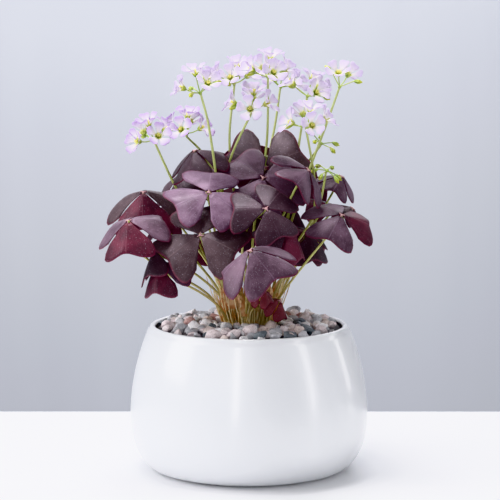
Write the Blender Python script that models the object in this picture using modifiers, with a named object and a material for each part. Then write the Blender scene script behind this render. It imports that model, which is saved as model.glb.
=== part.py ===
"""A purple shamrock (Oxalis triangularis) in flower, in a white glazed bowl pot topped with gravel.

Run it with blender --background --python part.py, or from the text editor. Metres, +Z up, origin at the
centre of the pot's foot. The tables and sizes below are in millimetres.
"""
import math
from collections import namedtuple
from itertools import product
from random import Random

import bmesh
import bpy
from mathutils import Matrix, Vector
from mathutils.bvhtree import BVHTree
from mathutils.kdtree import KDTree

MM = 0.001
GAP = 0.3 * MM
GOLDEN_TURN = math.radians(137.5)

# The pot: a bowl of revolution, widest below its middle
POT_HEIGHT = 116 * MM
BELLY_RADIUS = 95 * MM
BELLY_HEIGHT = 42 * MM
FOOT_RADIUS = 70 * MM
RIM_RADIUS = 79 * MM
WALL = 4.6 * MM
FLOOR = 8 * MM
POT_SIDES = 36

# The fill: potting soil with a mound in the middle, under a bed of gravel
SOIL_TOP = 100 * MM
MOUND_RADIUS = 25 * MM
MOUND_TOP = 117 * MM
GRAVEL_TOP = 119 * MM
GRAVEL_DROP = 3 * MM
SOIL_CLEAR = 2 * MM
BED_CLEAR = 1.6 * MM
FILL_SIDES = 22
PEBBLE_RADIUS = 6.5 * MM
PEBBLE_RELIEF = 2.6 * MM
PEBBLE_COUNT = 66

# The stalks: seven rootstocks, each with old stubs, petioles and scapes
NECK_RADIUS = 6.2 * MM
NECK_RING = 15.6 * MM
NECK_BOTTOM = 84 * MM
NECK_TOP = 119 * MM
STUBS = 5
PETIOLE_RADIUS = 0.85 * MM
SCAPE_RADIUS = 0.95 * MM
STUB_RING = 0.55
STUB_LEAN = 0.3
STUB_SPLAY = 1.2 * MM
STUB_HEIGHTS = (14 * MM, 28 * MM)
STUB_FOOT_RADIUS = 1.4 * MM
STUB_TIP_RADIUS = 0.9 * MM
SUNK = 1.5 * MM
FOOT_SPREAD = 0.19
FOOT_LEAN = 0.6
STALK_POINTS = 6
STALK_BOWS = (0, -8, 8, -16, 16, -24, 24, -36, 36)
STALK_RISES = (0.42, 0.28, 0.56)
STALK_ARRIVALS = (0.24, 0.12, 0.36, 0.5)
STALK_NECKS = 6
UPRIGHT_WITHIN = 30 * MM
STRAIGHT_TIP = 1.5 * MM
STALK_STEP = 1.2 * MM
STALK_CLEARANCE = 1.6 * MM
TIP_FREE = 4 * MM
STALK_SPACING = 2.3 * MM

# The leaves: three leaflets on a small hub
BLADE = 0.66 * MM
CLEARANCE = BLADE + 2.4 * GAP
HUB_RADIUS = 2.4 * MM
HALF_ANGLE = 50
WIDEST_SPREAD = 57
INNER_ANGLES = (-50, 0, 50)
OUTER_ANGLES = (-50, -38, -18, 0, 18, 38, 50)
INNER_RING = 0.52
LEAFLET_ARCH = 0.10
LEAFLET_CUP = 0.08

# The flowers: five petals on a funnel
PETAL = 0.66 * MM
PETALS = 5
THROAT_RADIUS = 1.3 * MM
PETAL_REACH = 10.8 * MM
PETAL_HALF_WIDTH = 4.5 * MM
PETAL_RISE = 8 * MM
PEDICEL_RADIUS = 0.55 * MM
CALYX_RADIUS = 0.85 * MM
BUD_LENGTH = 6.5 * MM
BUD_RADIUS = 1.5 * MM
UMBEL_HUB = 1.5 * MM

Leaf = namedtuple("Leaf", "name x y z azimuth tilt spin length droop fold")
# x, y and z of the hub; the way the leaf faces, where azimuth 0 is the front and 90 the right, and how far
# it leans that way; the turn of its first leaflet from the downhill side; a leaflet's length, droop and fold
LEAVES = (
    Leaf("front_a", -31, -45, 225, 8, 38, 50, 31, 3, 10),
    Leaf("front_b", -37, -62, 194, -8, 46, 68, 34, 4, 12),
    Leaf("front_c", 11, -32, 234, 8, 48, -22, 33, 4, 12),
    Leaf("front_d", 13, -62, 214, 15, 50, 20, 27, 6, 14),
    Leaf("front_e", 1, -88, 188, -30, 32, 60, 33, 26, 22),
    Leaf("front_f", 31, -58, 200, 50, 34, 14, 29, 32, 26),
    Leaf("front_g", 0, -38, 205, -20, 28, 40, 27, 28, 18),
    Leaf("top_a", 13, 4, 240, 0, 60, 0, 36, 0, 10),
    Leaf("top_b", -40, -4, 248, -45, 26, 20, 27, 22, 24),
    Leaf("top_c", 46, -2, 238, 70, 46, 44, 26, 14, 22),
    Leaf("top_d", 8, 42, 246, 170, 40, 60, 32, 12, 18),
    Leaf("left_a", -83, -10, 222, -10, 30, 5, 34, 26, 20),
    Leaf("left_b", -92, -44, 204, -30, 34, 15, 30, 20, 20),
    Leaf("left_c", -56, 12, 232, -55, 34, 50, 28, 16, 18),
    Leaf("left_d", -69, -46, 169, -48, 36, 12, 25, 26, 26),
    Leaf("left_e", -73, -14, 180, -86, 36, 40, 27, 22, 22),
    Leaf("right_a", 72, -30, 206, 20, 34, -40, 28, 12, 16),
    Leaf("right_b", 46, -12, 190, 36, 38, 0, 25, 20, 20),
    Leaf("right_c", 82, 4, 208, 86, 36, 10, 19, 16, 26),
    Leaf("right_d", 74, 20, 232, 60, 28, 50, 20, 26, 26),
    Leaf("right_e", 34, 24, 208, 60, 30, 0, 23, 28, 20),
    Leaf("back_a", -66, 32, 208, -128, 44, 0, 32, 12, 18),
    Leaf("back_b", -38, 56, 230, -150, 42, 58, 31, 10, 16),
    Leaf("back_c", 0, 76, 206, 178, 48, 0, 33, 10, 16),
    Leaf("back_d", 42, 58, 232, 146, 42, 60, 31, 10, 16),
    Leaf("back_e", 72, 56, 204, 116, 46, 4, 30, 14, 20),
    Leaf("back_f", -44, 66, 180, -150, 36, 0, 28, 24, 24),
    Leaf("back_g", 44, 68, 184, 148, 36, 56, 29, 22, 24),
    Leaf("young_a", 24, -34, 139, 60, 40, 0, 15, 24, 34),
    Leaf("young_b", 10, -36, 149, 10, 30, 40, 13, 30, 30),
)

Stalk = namedtuple("Stalk", "name tip arrive radius")
Umbel = namedtuple("Umbel", "name x y z azimuth tilt flowers buds pedicel spread")
# The umbel's hub, the way it leans, its open flowers and buds, the pedicel's length and the dome's spread
UMBELS = (
    Umbel("left_a", -75, -4, 263, -60, 24, 5, 1, 12, 70),
    Umbel("left_b", -50, 32, 266, -20, 12, 5, 1, 12, 66),
    Umbel("top_a", -38, -14, 300, -60, 20, 4, 3, 14, 62),
    Umbel("top_b", -12, 24, 306, -10, 10, 5, 2, 13, 66),
    Umbel("top_c", 2, -10, 288, -10, 16, 5, 1, 12, 70),
    Umbel("top_d", 15, 12, 312, 20, 8, 5, 1, 13, 66),
    Umbel("top_e", 26, 66, 302, 120, 14, 5, 1, 13, 66),
    Umbel("right_a", 45, -25, 274, 20, 16, 5, 1, 13, 72),
    Umbel("right_b", 47, 40, 296, 60, 14, 4, 2, 13, 66),
    Umbel("right_c", 72, 14, 304, 70, 20, 2, 2, 14, 50),
    Umbel("spent_a", 58, 28, 258, 60, 30, 0, 5, 10, 74),
    Umbel("spent_b", 62, 6, 238, 40, 30, 0, 6, 9, 96),
)

COLOURS = {
    "glaze": ((0.86, 0.87, 0.89, 1), 0.12),
    "soil": ((0.05, 0.035, 0.025, 1), 0.95),
    "gravel": ((0.44, 0.40, 0.40, 1), 0.7),
    "stalk": ((0.42, 0.45, 0.16, 1), 0.5),
    "leaf": ((0.11, 0.045, 0.09, 1), 0.45),
    "young_leaf": ((0.30, 0.03, 0.07, 1), 0.45),
    "petal": ((0.72, 0.58, 0.84, 1), 0.5),
}


def clear_scene():
    for obj in list(bpy.data.objects):
        bpy.data.objects.remove(obj)


def new_collection(name):
    collection = bpy.data.collections.new(name)
    bpy.context.scene.collection.children.link(collection)
    return collection


def material(name):
    found = bpy.data.materials.get(name)
    if found:
        return found
    colour, roughness = COLOURS[name]
    made = bpy.data.materials.new(name)
    made.use_nodes = True
    made.diffuse_color = colour
    shader = made.node_tree.nodes["Principled BSDF"]
    shader.inputs["Base Color"].default_value = colour
    shader.inputs["Roughness"].default_value = roughness
    shader.inputs["Metallic"].default_value = 0.0
    return made


def add_object(name, mesh, collection, finish):
    obj = bpy.data.objects.new(name, mesh)
    collection.objects.link(obj)
    obj.data.materials.append(material(finish))
    return obj


def mesh_of(name, points, faces):
    mesh = bpy.data.meshes.new(name)
    mesh.from_pydata([tuple(p) for p in points], [], faces)
    mesh.update()
    return mesh


def turned(name, profile, collection, finish, sides=POT_SIDES):
    """A body of revolution from (radius, height) points, from the axis over the top and down the outside."""
    mesh = bpy.data.meshes.new(name)
    edges = [(i, i + 1) for i in range(len(profile) - 1)]
    mesh.from_pydata([(r, 0, z) for r, z in profile], edges, [])
    obj = add_object(name, mesh, collection, finish)
    screw = obj.modifiers.new("turn", "SCREW")
    screw.steps = screw.render_steps = sides
    screw.use_merge_vertices = True
    screw.merge_threshold = 0.00005
    return obj


def evaluated_copy(obj):
    """The object's mesh with its modifiers applied, in world space."""
    graph = bpy.context.evaluated_depsgraph_get()
    mesh = bpy.data.meshes.new_from_object(obj.evaluated_get(graph))
    mesh.transform(obj.matrix_world)
    return mesh


def weld(mesh):
    """Joins points that coincide, as where a tube's cap meets its side, and turns the faces outwards."""
    shape = bmesh.new()
    shape.from_mesh(mesh)
    bmesh.ops.remove_doubles(shape, verts=shape.verts, dist=0.00002)
    bmesh.ops.recalc_face_normals(shape, faces=shape.faces)
    shape.to_mesh(mesh)
    shape.free()


def boolean(obj, other, operation, collection_operand=False):
    modifier = obj.modifiers.new(operation.lower(), "BOOLEAN")
    modifier.operation = operation
    modifier.solver = "MANIFOLD" if collection_operand else "EXACT"
    if collection_operand:
        modifier.operand_type = "COLLECTION"
        modifier.collection = other
    else:
        modifier.object = other
    return modifier


def fused(name, pieces, home, finish):
    """One closed body from several that overlap, by one Boolean union on a collection."""
    first, rest = pieces[0], pieces[1:]
    group = new_collection(name + "_pieces")
    for piece in rest:
        for owner in list(piece.users_collection):
            owner.objects.unlink(piece)
        group.objects.link(piece)
    boolean(first, group, "UNION", collection_operand=True)
    bpy.context.view_layer.update()
    mesh = evaluated_copy(first)
    mesh.name = name
    mesh.materials.clear()
    for piece in pieces:
        bpy.data.objects.remove(piece)
    bpy.data.collections.remove(group)
    return add_object(name, mesh, home, finish)


def outer_radius(height):
    """The pot's outside: a parabola above the belly and a quarter ellipse below it."""
    if height >= BELLY_HEIGHT:
        share = (height - BELLY_HEIGHT) / (POT_HEIGHT - BELLY_HEIGHT)
        return BELLY_RADIUS - (BELLY_RADIUS - RIM_RADIUS) * share**2
    share = (BELLY_HEIGHT - height) / BELLY_HEIGHT
    return FOOT_RADIUS + (BELLY_RADIUS - FOOT_RADIUS) * math.sqrt(1 - share**2)


def inner_radius(height):
    return outer_radius(height) - WALL


def make_pot(collection):
    lip = 1.6 * MM
    inner_low = FLOOR + 12 * MM
    inner_steps, upper_steps, lower_steps = 4, 4, 4
    profile = [(0, FLOOR), (inner_radius(inner_low) - 10 * MM, FLOOR)]
    for step in range(inner_steps):
        height = inner_low + (POT_HEIGHT - lip - inner_low) * step / (inner_steps - 1)
        profile.append((inner_radius(height), height))
    profile.append((inner_radius(POT_HEIGHT) + lip, POT_HEIGHT))
    profile.append((RIM_RADIUS - lip, POT_HEIGHT))
    for step in range(upper_steps):
        height = POT_HEIGHT - lip - (POT_HEIGHT - lip - BELLY_HEIGHT) * step / upper_steps
        profile.append((outer_radius(height), height))
    for step in range(lower_steps):
        turn = math.radians(90 * step / lower_steps)
        height = BELLY_HEIGHT * (1 - math.sin(turn))
        profile.append((outer_radius(height), height))
    profile.append((FOOT_RADIUS, 0))
    profile.append((0, 0))
    return turned("pot", profile, collection, "glaze")


def neck_places():
    """The rootstocks' places: one in the middle and six round it."""
    places = [Vector((0, 0))]
    for k in range(6):
        turn = math.radians(60 * k)
        places.append(Vector((math.sin(turn), -math.cos(turn))) * NECK_RING)
    return places


def make_soil(collection, cutters):
    low = FLOOR + GAP
    first = FLOOR + 14 * MM
    profile = [(0, MOUND_TOP), (MOUND_RADIUS - 3 * MM, MOUND_TOP), (MOUND_RADIUS, MOUND_TOP - 4 * MM)]
    profile += [(MOUND_RADIUS, SOIL_TOP), (inner_radius(SOIL_TOP) - SOIL_CLEAR, SOIL_TOP)]
    for step in range(1, 4):
        height = SOIL_TOP + (first - SOIL_TOP) * step / 3
        profile.append((inner_radius(height) - SOIL_CLEAR, height))
    profile.append((inner_radius(first) - 16 * MM, low))
    profile.append((0, low))
    soil = turned("soil", profile, collection, "soil", FILL_SIDES)
    cutter = bpy.data.meshes.new("neck_holes")
    shape = bmesh.new()
    for place in neck_places():
        middle = (NECK_BOTTOM - GAP + MOUND_TOP + 10 * MM) / 2
        depth = MOUND_TOP + 10 * MM - (NECK_BOTTOM - GAP)
        where = Matrix.Translation((place.x, place.y, middle))
        radius = NECK_RADIUS + GAP
        bmesh.ops.create_cone(shape, cap_ends=True, segments=7, radius1=radius, radius2=radius,
                              depth=depth, matrix=where)
    shape.to_mesh(cutter)
    shape.free()
    holes = bpy.data.objects.new("neck_holes", cutter)
    cutters.objects.link(holes)
    holes.hide_render = True
    holes.display_type = "WIRE"
    boolean(soil, holes, "DIFFERENCE")
    return soil


def gravel_height(radius):
    """The bed's top: nearly level over the middle, falling towards the wall."""
    return GRAVEL_TOP - GRAVEL_DROP * (radius / (RIM_RADIUS - WALL)) ** 4


def pebble_places():
    """Each pebble's place, radius and turn: a sunflower spiral over the bed, shaken a little."""
    random = Random(11)
    inside = (MOUND_RADIUS + PEBBLE_RADIUS) ** 2
    outside = (RIM_RADIUS - WALL - 1.25 * PEBBLE_RADIUS) ** 2
    places = []
    for k in range(PEBBLE_COUNT):
        radius = math.sqrt(inside + (outside - inside) * (k + 0.5) / PEBBLE_COUNT)
        turn = k * GOLDEN_TURN
        size = PEBBLE_RADIUS * random.uniform(0.78, 1.06)
        spot = Vector((radius * math.cos(turn), radius * math.sin(turn), gravel_height(radius)))
        places.append((spot, size, random.uniform(0, math.tau), random.uniform(-0.18, 0.18)))
    return places


def make_gravel(collection):
    """A ring of gravel round the mound: a bed with flat-topped pebbles standing out of it."""
    bottom = SOIL_TOP + GAP
    hole = MOUND_RADIUS + 0.5 * MM
    wall = inner_radius(POT_HEIGHT) - BED_CLEAR
    middle = (hole + wall) / 2
    profile = [(hole, bottom)]
    for radius in (hole, middle, wall):
        profile.append((radius, gravel_height(radius) - PEBBLE_RELIEF / 2))
    profile += [(inner_radius(bottom) - 2 * MM, bottom), (hole, bottom)]
    bed = turned("gravel_bed", profile, collection, "gravel", FILL_SIDES)
    bpy.context.view_layer.update()
    mesh = evaluated_copy(bed)
    weld(mesh)
    bpy.data.objects.remove(bed)
    pieces = [add_object("gravel_bed", mesh, collection, "gravel")]
    for k, (spot, size, turn, lean) in enumerate(pebble_places()):
        place = Matrix.Translation(spot) @ Matrix.Rotation(lean, 4, "X") @ Matrix.Rotation(turn, 4, "Z")
        shape = bmesh.new()
        bmesh.ops.create_cone(shape, cap_ends=True, segments=5, radius1=size, radius2=size * 0.55,
                              depth=2 * PEBBLE_RELIEF, matrix=place)
        pebble = bpy.data.meshes.new("pebble")
        shape.to_mesh(pebble)
        shape.free()
        pieces.append(add_object(f"pebble_{k}", pebble, collection, "gravel"))
    return fused("gravel", pieces, collection, "gravel")


def direction(azimuth, tilt):
    """The unit vector that leans from upright by tilt towards azimuth; 0 is the front and 90 the right."""
    a, t = math.radians(azimuth), math.radians(tilt)
    return Vector((math.sin(a) * math.sin(t), -math.cos(a) * math.sin(t), math.cos(t)))


def leaf_axes(leaf, hub):
    """The leaf's place: x downhill, y across, z along its normal, origin at the hub."""
    normal = direction(leaf.azimuth, leaf.tilt)
    downhill = direction(leaf.azimuth, leaf.tilt + 90)
    across = normal.cross(downhill)
    axes = Matrix((downhill, across, normal)).transposed().to_4x4()
    return Matrix.Translation(hub) @ axes


def leaflet_reach(angle):
    """The leaflet's outline, as a share of its length from the hub: a wide triangle with round corners."""
    share = abs(angle) / HALF_ANGLE
    corner = 0.25 * math.sin(math.pi / 2 * min(share / 0.76, 1)) ** 2
    shoulder = 0.37 * max(0, (share - 0.76) / 0.24) ** 1.6
    return 0.92 + corner - shoulder


def leaflet_spread(leaf):
    """The half angle that a leaflet opens to: folded and drooping ones open less, so they don't cross."""
    droop, fold = math.radians(leaf.droop), math.radians(leaf.fold)
    slope = math.tan(math.radians(WIDEST_SPREAD))
    narrowed = math.cos(fold) + slope * math.sin(fold) * math.sin(droop)
    most = math.atan(slope * math.cos(droop) / narrowed)
    return min(HALF_ANGLE, math.degrees(most))


def leaflet_point(leaf, turn, angle, ring):
    """A leaflet's point in the leaf's axes, by angle from the midrib and ring from the hub to the edge."""
    length = leaf.length * MM
    distance = HUB_RADIUS + (length * leaflet_reach(angle) - HUB_RADIUS) * ring
    opened = math.radians(angle) * leaflet_spread(leaf) / HALF_ANGLE
    along = distance * math.cos(opened)
    aside = distance * math.sin(opened)
    fold = math.radians(leaf.fold)
    flat = Vector((along, aside * math.cos(fold), -abs(aside) * math.sin(fold)))
    flat.z -= LEAFLET_ARCH * along**2 / length + LEAFLET_CUP * aside**2 / length
    hinge = Vector((HUB_RADIUS, 0, 0))
    drooped = Matrix.Rotation(math.radians(leaf.droop), 3, "Y") @ (flat - hinge)
    return Matrix.Rotation(turn, 3, "Z") @ (drooped + hinge)


def leaf_surface(leaf, hub):
    """The open surface of three leaflets: a six-sided hub with a V on three sides that opens into a fan."""
    points = []
    for k in range(6):
        turn = math.radians(leaf.spin + 60 * k - 30)
        points.append(Vector((math.cos(turn), math.sin(turn), 0)) * HUB_RADIUS * 0.8)
    faces = [(0, 1, 2), (0, 2, 3), (0, 3, 5), (3, 4, 5)]
    for k in range(3):
        turn = math.radians(leaf.spin + 120 * k)
        left, right = 2 * k, 2 * k + 1
        low = len(points)
        points += [leaflet_point(leaf, turn, angle, INNER_RING) for angle in INNER_ANGLES]
        faces += [(left, low, low + 1), (left, low + 1, right), (right, low + 1, low + 2)]
        edge = len(points)
        points += [leaflet_point(leaf, turn, angle, 1.0) for angle in OUTER_ANGLES]
        faces += [(low, edge, edge + 1), (low, edge + 1, edge + 2), (low, edge + 2, low + 1)]
        faces += [(low + 1, edge + i, edge + i + 1) for i in (2, 3)]
        faces += [(low + 1, edge + 4, low + 2)]
        faces += [(low + 2, edge + 4, edge + 5), (low + 2, edge + 5, edge + 6)]
    place = leaf_axes(leaf, hub)
    return [place @ p for p in points], faces


def thicken(obj, thickness):
    solid = obj.modifiers.new("thickness", "SOLIDIFY")
    solid.thickness = thickness
    solid.offset = 0
    solid.use_even_offset = False
    return solid


def make_leaf(leaf, hub, collection):
    points, faces = leaf_surface(leaf, hub)
    finish = "young_leaf" if leaf.name.startswith("young") else "leaf"
    obj = add_object("leaf_" + leaf.name, mesh_of(leaf.name, points, faces), collection, finish)
    thicken(obj, BLADE)
    return obj


def small_moves():
    """Moves of a hub, those that show least from the front first: moves in depth, then the others."""
    aside = (0, -3, 3, -6, 6)
    steps = range(-27, 28, 3)
    moves = [Vector((x, y, z)) for x, y, z in product(aside, steps, aside)]
    return [move * MM for move in sorted(moves, key=lambda m: abs(m.y) + 3 * abs(m.x) + 3 * abs(m.z))]


def samples(points, faces):
    """Points spread evenly over the triangles of a surface."""
    shares = [(i / 5, j / 5) for i in range(6) for j in range(6 - i)]
    found = []
    for a, b, c in faces:
        found += [points[a] * (1 - i - j) + points[b] * i + points[c] * j for i, j in shares]
    return found


class Placed:
    """The open surfaces that are already in place."""

    def __init__(self):
        self.points = []
        self.faces = []
        self.tree = None

    def add(self, points, faces):
        base = len(self.points)
        self.points += points
        self.faces += [tuple(base + i for i in face) for face in faces]
        self.tree = BVHTree.FromPolygons(self.points, self.faces)

    def is_clear(self, points, clearance):
        return all(self.tree.find_nearest(p, clearance)[0] is None for p in points)

    def settle(self, points, faces):
        """Adds the surface at the first small move that keeps it clear of the rest, and returns the move."""
        spread = samples(points, faces)
        chosen = Vector((0, 0, 0))
        if self.tree:
            for move in small_moves():
                moved = BVHTree.FromPolygons([p + move for p in points], faces)
                if not moved.overlap(self.tree) and self.is_clear([p + move for p in spread], CLEARANCE):
                    chosen = move
                    break
        self.add([p + chosen for p in points], faces)
        return chosen


def tube(name, points, radii, collection, finish):
    """A stalk: a poly spline with a round bevel and filled caps, made a mesh so that it can be joined."""
    curve = bpy.data.curves.new(name, "CURVE")
    curve.dimensions = "3D"
    curve.bevel_depth = 1.0
    curve.bevel_resolution = 0
    curve.use_fill_caps = True
    spline = curve.splines.new("POLY")
    spline.points.add(len(points) - 1)
    for spot, point, radius in zip(spline.points, points, radii):
        spot.co = (*point, 1)
        spot.radius = radius
    guide = bpy.data.objects.new(name, curve)
    collection.objects.link(guide)
    bpy.context.view_layer.update()
    mesh = evaluated_copy(guide)
    bpy.data.objects.remove(guide)
    weld(mesh)
    mesh.materials.clear()
    return add_object(name, mesh, collection, finish)


def bezier(points, share):
    a, b, c, d = points
    rest = 1 - share
    return a * rest**3 + b * 3 * rest**2 * share + c * 3 * rest * share**2 + d * share**3


def stalk_line(neck, order, stalk, bows, rise, arrival):
    """A rootstock's stalk, as points up to its tip, bowed sideways low down and near the tip."""
    outward = Vector((stalk.tip.x - neck.x, stalk.tip.y - neck.y, 0))
    top = stalk.tip - stalk.arrive * STRAIGHT_TIP
    side = Vector((-outward.y, outward.x, 0)).normalized() * MM
    spread = Vector((NECK_RADIUS * FOOT_SPREAD * math.sqrt(order + 1), 0, 0))
    foot = Matrix.Rotation(order * GOLDEN_TURN, 3, "Z") @ spread
    start = Vector((neck.x, neck.y, NECK_TOP - SUNK)) + foot
    length = (top - start).length
    leave = (Vector((0, 0, 1)) + outward * (FOOT_LEAN / length)).normalized()
    low = start + leave * rise * length + side * bows[0]
    high = top - stalk.arrive * arrival * length + side * bows[1]
    ends = (start, low, high, top)
    return [bezier(ends, i / (STALK_POINTS - 1)) for i in range(STALK_POINTS)] + [stalk.tip]


def close_points(line):
    """Points along a line, a millimetre or so apart."""
    found = []
    for a, b in zip(line, line[1:]):
        steps = max(1, round((b - a).length / STALK_STEP))
        found += [a.lerp(b, i / steps) for i in range(steps)]
    return found + [line[-1]]


def likely_necks(tip):
    """The rootstocks that a stalk may grow from, the likeliest first: on its side, or the middle one."""
    places = neck_places()
    side = Vector((tip.x, tip.y))
    order = sorted(range(1, len(places)), key=lambda k: -places[k].dot(side))[:STALK_NECKS]
    return [0] + order if side.length < UPRIGHT_WITHIN else order


def stub_paths(k):
    """The stubs of old stalks on a rootstock, each as its foot and its tip."""
    random = Random(60 + k)
    place = neck_places()[k]
    found = []
    for s in range(STUBS):
        turn = math.tau * (s + random.uniform(-0.15, 0.15)) / STUBS
        out = Vector((math.cos(turn), math.sin(turn), 0))
        foot = Vector((place.x, place.y, NECK_TOP - SUNK)) + out * NECK_RADIUS * STUB_RING
        lean = Vector((place.x, place.y, 0)) * STUB_LEAN + out * STUB_SPLAY
        rise = random.uniform(*STUB_HEIGHTS)
        found.append((foot, foot + lean + Vector((0, 0, rise))))
    return found


def route(stalk, grown, placed, taken):
    """A rootstock and a line from it that is clear of the surfaces and of the other tufts' stalks."""
    places = neck_places()
    bows = sorted(product(STALK_BOWS, STALK_BOWS), key=lambda pair: abs(pair[0]) + abs(pair[1]))
    for k in likely_necks(stalk.tip):
        others = [point for owner, point in taken if owner != k]
        near = KDTree(len(others))
        for i, point in enumerate(others):
            near.insert(point, i)
        near.balance()
        for pair, arrival, rise in product(bows, STALK_ARRIVALS, STALK_RISES):
            line = stalk_line(places[k], grown[k], stalk, pair, rise, arrival)
            path = close_points(line)
            free = [p for p in path if (p - stalk.tip).length > TIP_FREE]
            apart = all(near.find(p)[2] > STALK_SPACING for p in path)
            if apart and placed.is_clear(free, STALK_CLEARANCE):
                return k, line
    k = likely_necks(stalk.tip)[0]
    return k, stalk_line(places[k], grown[k], stalk, (0, 0), STALK_RISES[0], STALK_ARRIVALS[0])


def make_neck(k, collection):
    """A rootstock with the stubs of old stalks."""
    place = neck_places()[k]
    shape = bmesh.new()
    depth = NECK_TOP - NECK_BOTTOM
    where = Matrix.Translation((place.x, place.y, NECK_BOTTOM + depth / 2))
    sizes = {"radius1": NECK_RADIUS * 0.8, "radius2": NECK_RADIUS * 0.9, "depth": depth}
    bmesh.ops.create_cone(shape, cap_ends=True, segments=8, matrix=where, **sizes)
    mesh = bpy.data.meshes.new("neck")
    shape.to_mesh(mesh)
    shape.free()
    pieces = [add_object(f"neck_{k}", mesh, collection, "stalk")]
    for s, stub in enumerate(stub_paths(k)):
        radii = [STUB_FOOT_RADIUS, STUB_TIP_RADIUS]
        pieces.append(tube(f"stub_{k}_{s}", stub, radii, collection, "stalk"))
    return pieces


def wanted_stalks(leaf_hubs, umbel_hubs):
    """The scapes and petioles, each as its name, tip, the way it arrives there and its radius."""
    found = []
    for umbel, hub in zip(UMBELS, umbel_hubs):
        axis = direction(umbel.azimuth, umbel.tilt)
        found.append(Stalk("scape_" + umbel.name, hub - axis * (UMBEL_HUB + GAP), axis, SCAPE_RADIUS))
    for leaf, hub in zip(LEAVES, leaf_hubs):
        normal = direction(leaf.azimuth, leaf.tilt)
        tip = hub - normal * (BLADE / 2 + GAP)
        found.append(Stalk("petiole_" + leaf.name, tip, normal, PETIOLE_RADIUS))
    return found


def make_stalks(leaf_hubs, umbel_hubs, placed, collection):
    """Each rootstock with everything green that grows from it, as one body."""
    necks = range(len(neck_places()))
    tufts = [make_neck(k, collection) for k in necks]
    grown = [0] * len(necks)
    taken = []
    for k in necks:
        for stub in stub_paths(k):
            taken += [(k, point) for point in close_points(stub)]
    for stalk in wanted_stalks(leaf_hubs, umbel_hubs):
        k, line = route(stalk, grown, placed, taken)
        grown[k] += 1
        taken += [(k, point) for point in close_points(line)]
        tufts[k].append(tube(stalk.name, line, [stalk.radius] * len(line), collection, "stalk"))
    for k, pieces in enumerate(tufts):
        fused(f"tuft_{k}", pieces, collection, "stalk")


def aim(origin, axis, turn=0.0):
    """A place with its z along axis."""
    upright = axis.to_track_quat("Z", "Y").to_matrix().to_4x4()
    return Matrix.Translation(origin) @ upright @ Matrix.Rotation(turn, 4, "Z")


def flower_surface(place):
    """The open surface of a flower: a small five-sided throat and a blunt petal on each of its sides."""
    points = []
    for k in range(PETALS):
        turn = math.tau * (k - 0.5) / PETALS
        points.append(Vector((math.cos(turn), math.sin(turn), 0)) * THROAT_RADIUS)
    faces = [(0, 1, 2), (0, 2, 4), (2, 3, 4)]
    for k in range(PETALS):
        spin = Matrix.Rotation(math.tau * k / PETALS, 3, "Z")
        left, right = k, (k + 1) % PETALS
        base = len(points)
        points += [spin @ Vector((PETAL_REACH, side * PETAL_HALF_WIDTH, PETAL_RISE)) for side in (-1, 1)]
        faces += [(left, base, base + 1), (left, base + 1, right)]
    return [place @ p for p in points], faces


def umbel_stems(umbel):
    """The pedicels of an umbel on a loose dome: (direction, length, carries a flower) for each."""
    random = Random(umbel.name)
    axis = direction(umbel.azimuth, umbel.tilt)
    frame = aim(Vector((0, 0, 0)), axis).to_3x3()
    found = []
    for k in range(umbel.flowers + umbel.buds):
        flower = k < umbel.flowers
        if flower:
            middle = umbel.flowers >= 4
            polar = 8 if middle and k == 0 else umbel.spread
            turn = math.tau * k / (umbel.flowers - middle)
        else:
            polar = umbel.spread * 1.1 if umbel.flowers else umbel.spread
            turn = math.tau * (k - umbel.flowers + 0.5) / umbel.buds
        turn += random.uniform(-0.15, 0.15)
        lean = math.radians(polar + random.uniform(-6, 6))
        out = math.sin(lean)
        way = frame @ Vector((out * math.cos(turn), out * math.sin(turn), math.cos(lean)))
        found.append((way, umbel.pedicel * MM * random.uniform(0.9, 1.1), flower))
    return found


def umbel_flowers(umbel, hub):
    """The open surfaces of the umbel's flowers, one (points, faces) for each."""
    axis = direction(umbel.azimuth, umbel.tilt)
    found = []
    for k, (way, length, flower) in enumerate(umbel_stems(umbel)):
        if flower:
            found.append(flower_surface(aim(hub + way * length, (way + axis * 0.25).normalized(), k)))
    return found


def bud_path(hub, way, length):
    """A pedicel that ends in a nodding bud."""
    end = hub + way * length
    nod = (way + Vector((0, 0, -0.5))).normalized()
    return [hub, end, end + nod * BUD_LENGTH * 0.45, end + nod * BUD_LENGTH]


def umbel_outline(umbel, hub):
    """Flowers, buds and pedicels as thin open surfaces, for keeping umbels apart."""
    points = []
    faces = []
    for flower_points, flower_faces in umbel_flowers(umbel, hub):
        faces += [tuple(len(points) + i for i in face) for face in flower_faces]
        points += flower_points
    width = Vector((0, 0, 1.2 * MM))
    for way, length, flower in umbel_stems(umbel):
        path = [hub, hub + way * length] if flower else bud_path(hub, way, length)
        for a, b in zip(path, path[1:]):
            base = len(points)
            points += [a - width, a + width, b - width, b + width]
            faces += [(base, base + 1, base + 2), (base + 1, base + 3, base + 2)]
    return points, faces


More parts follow.
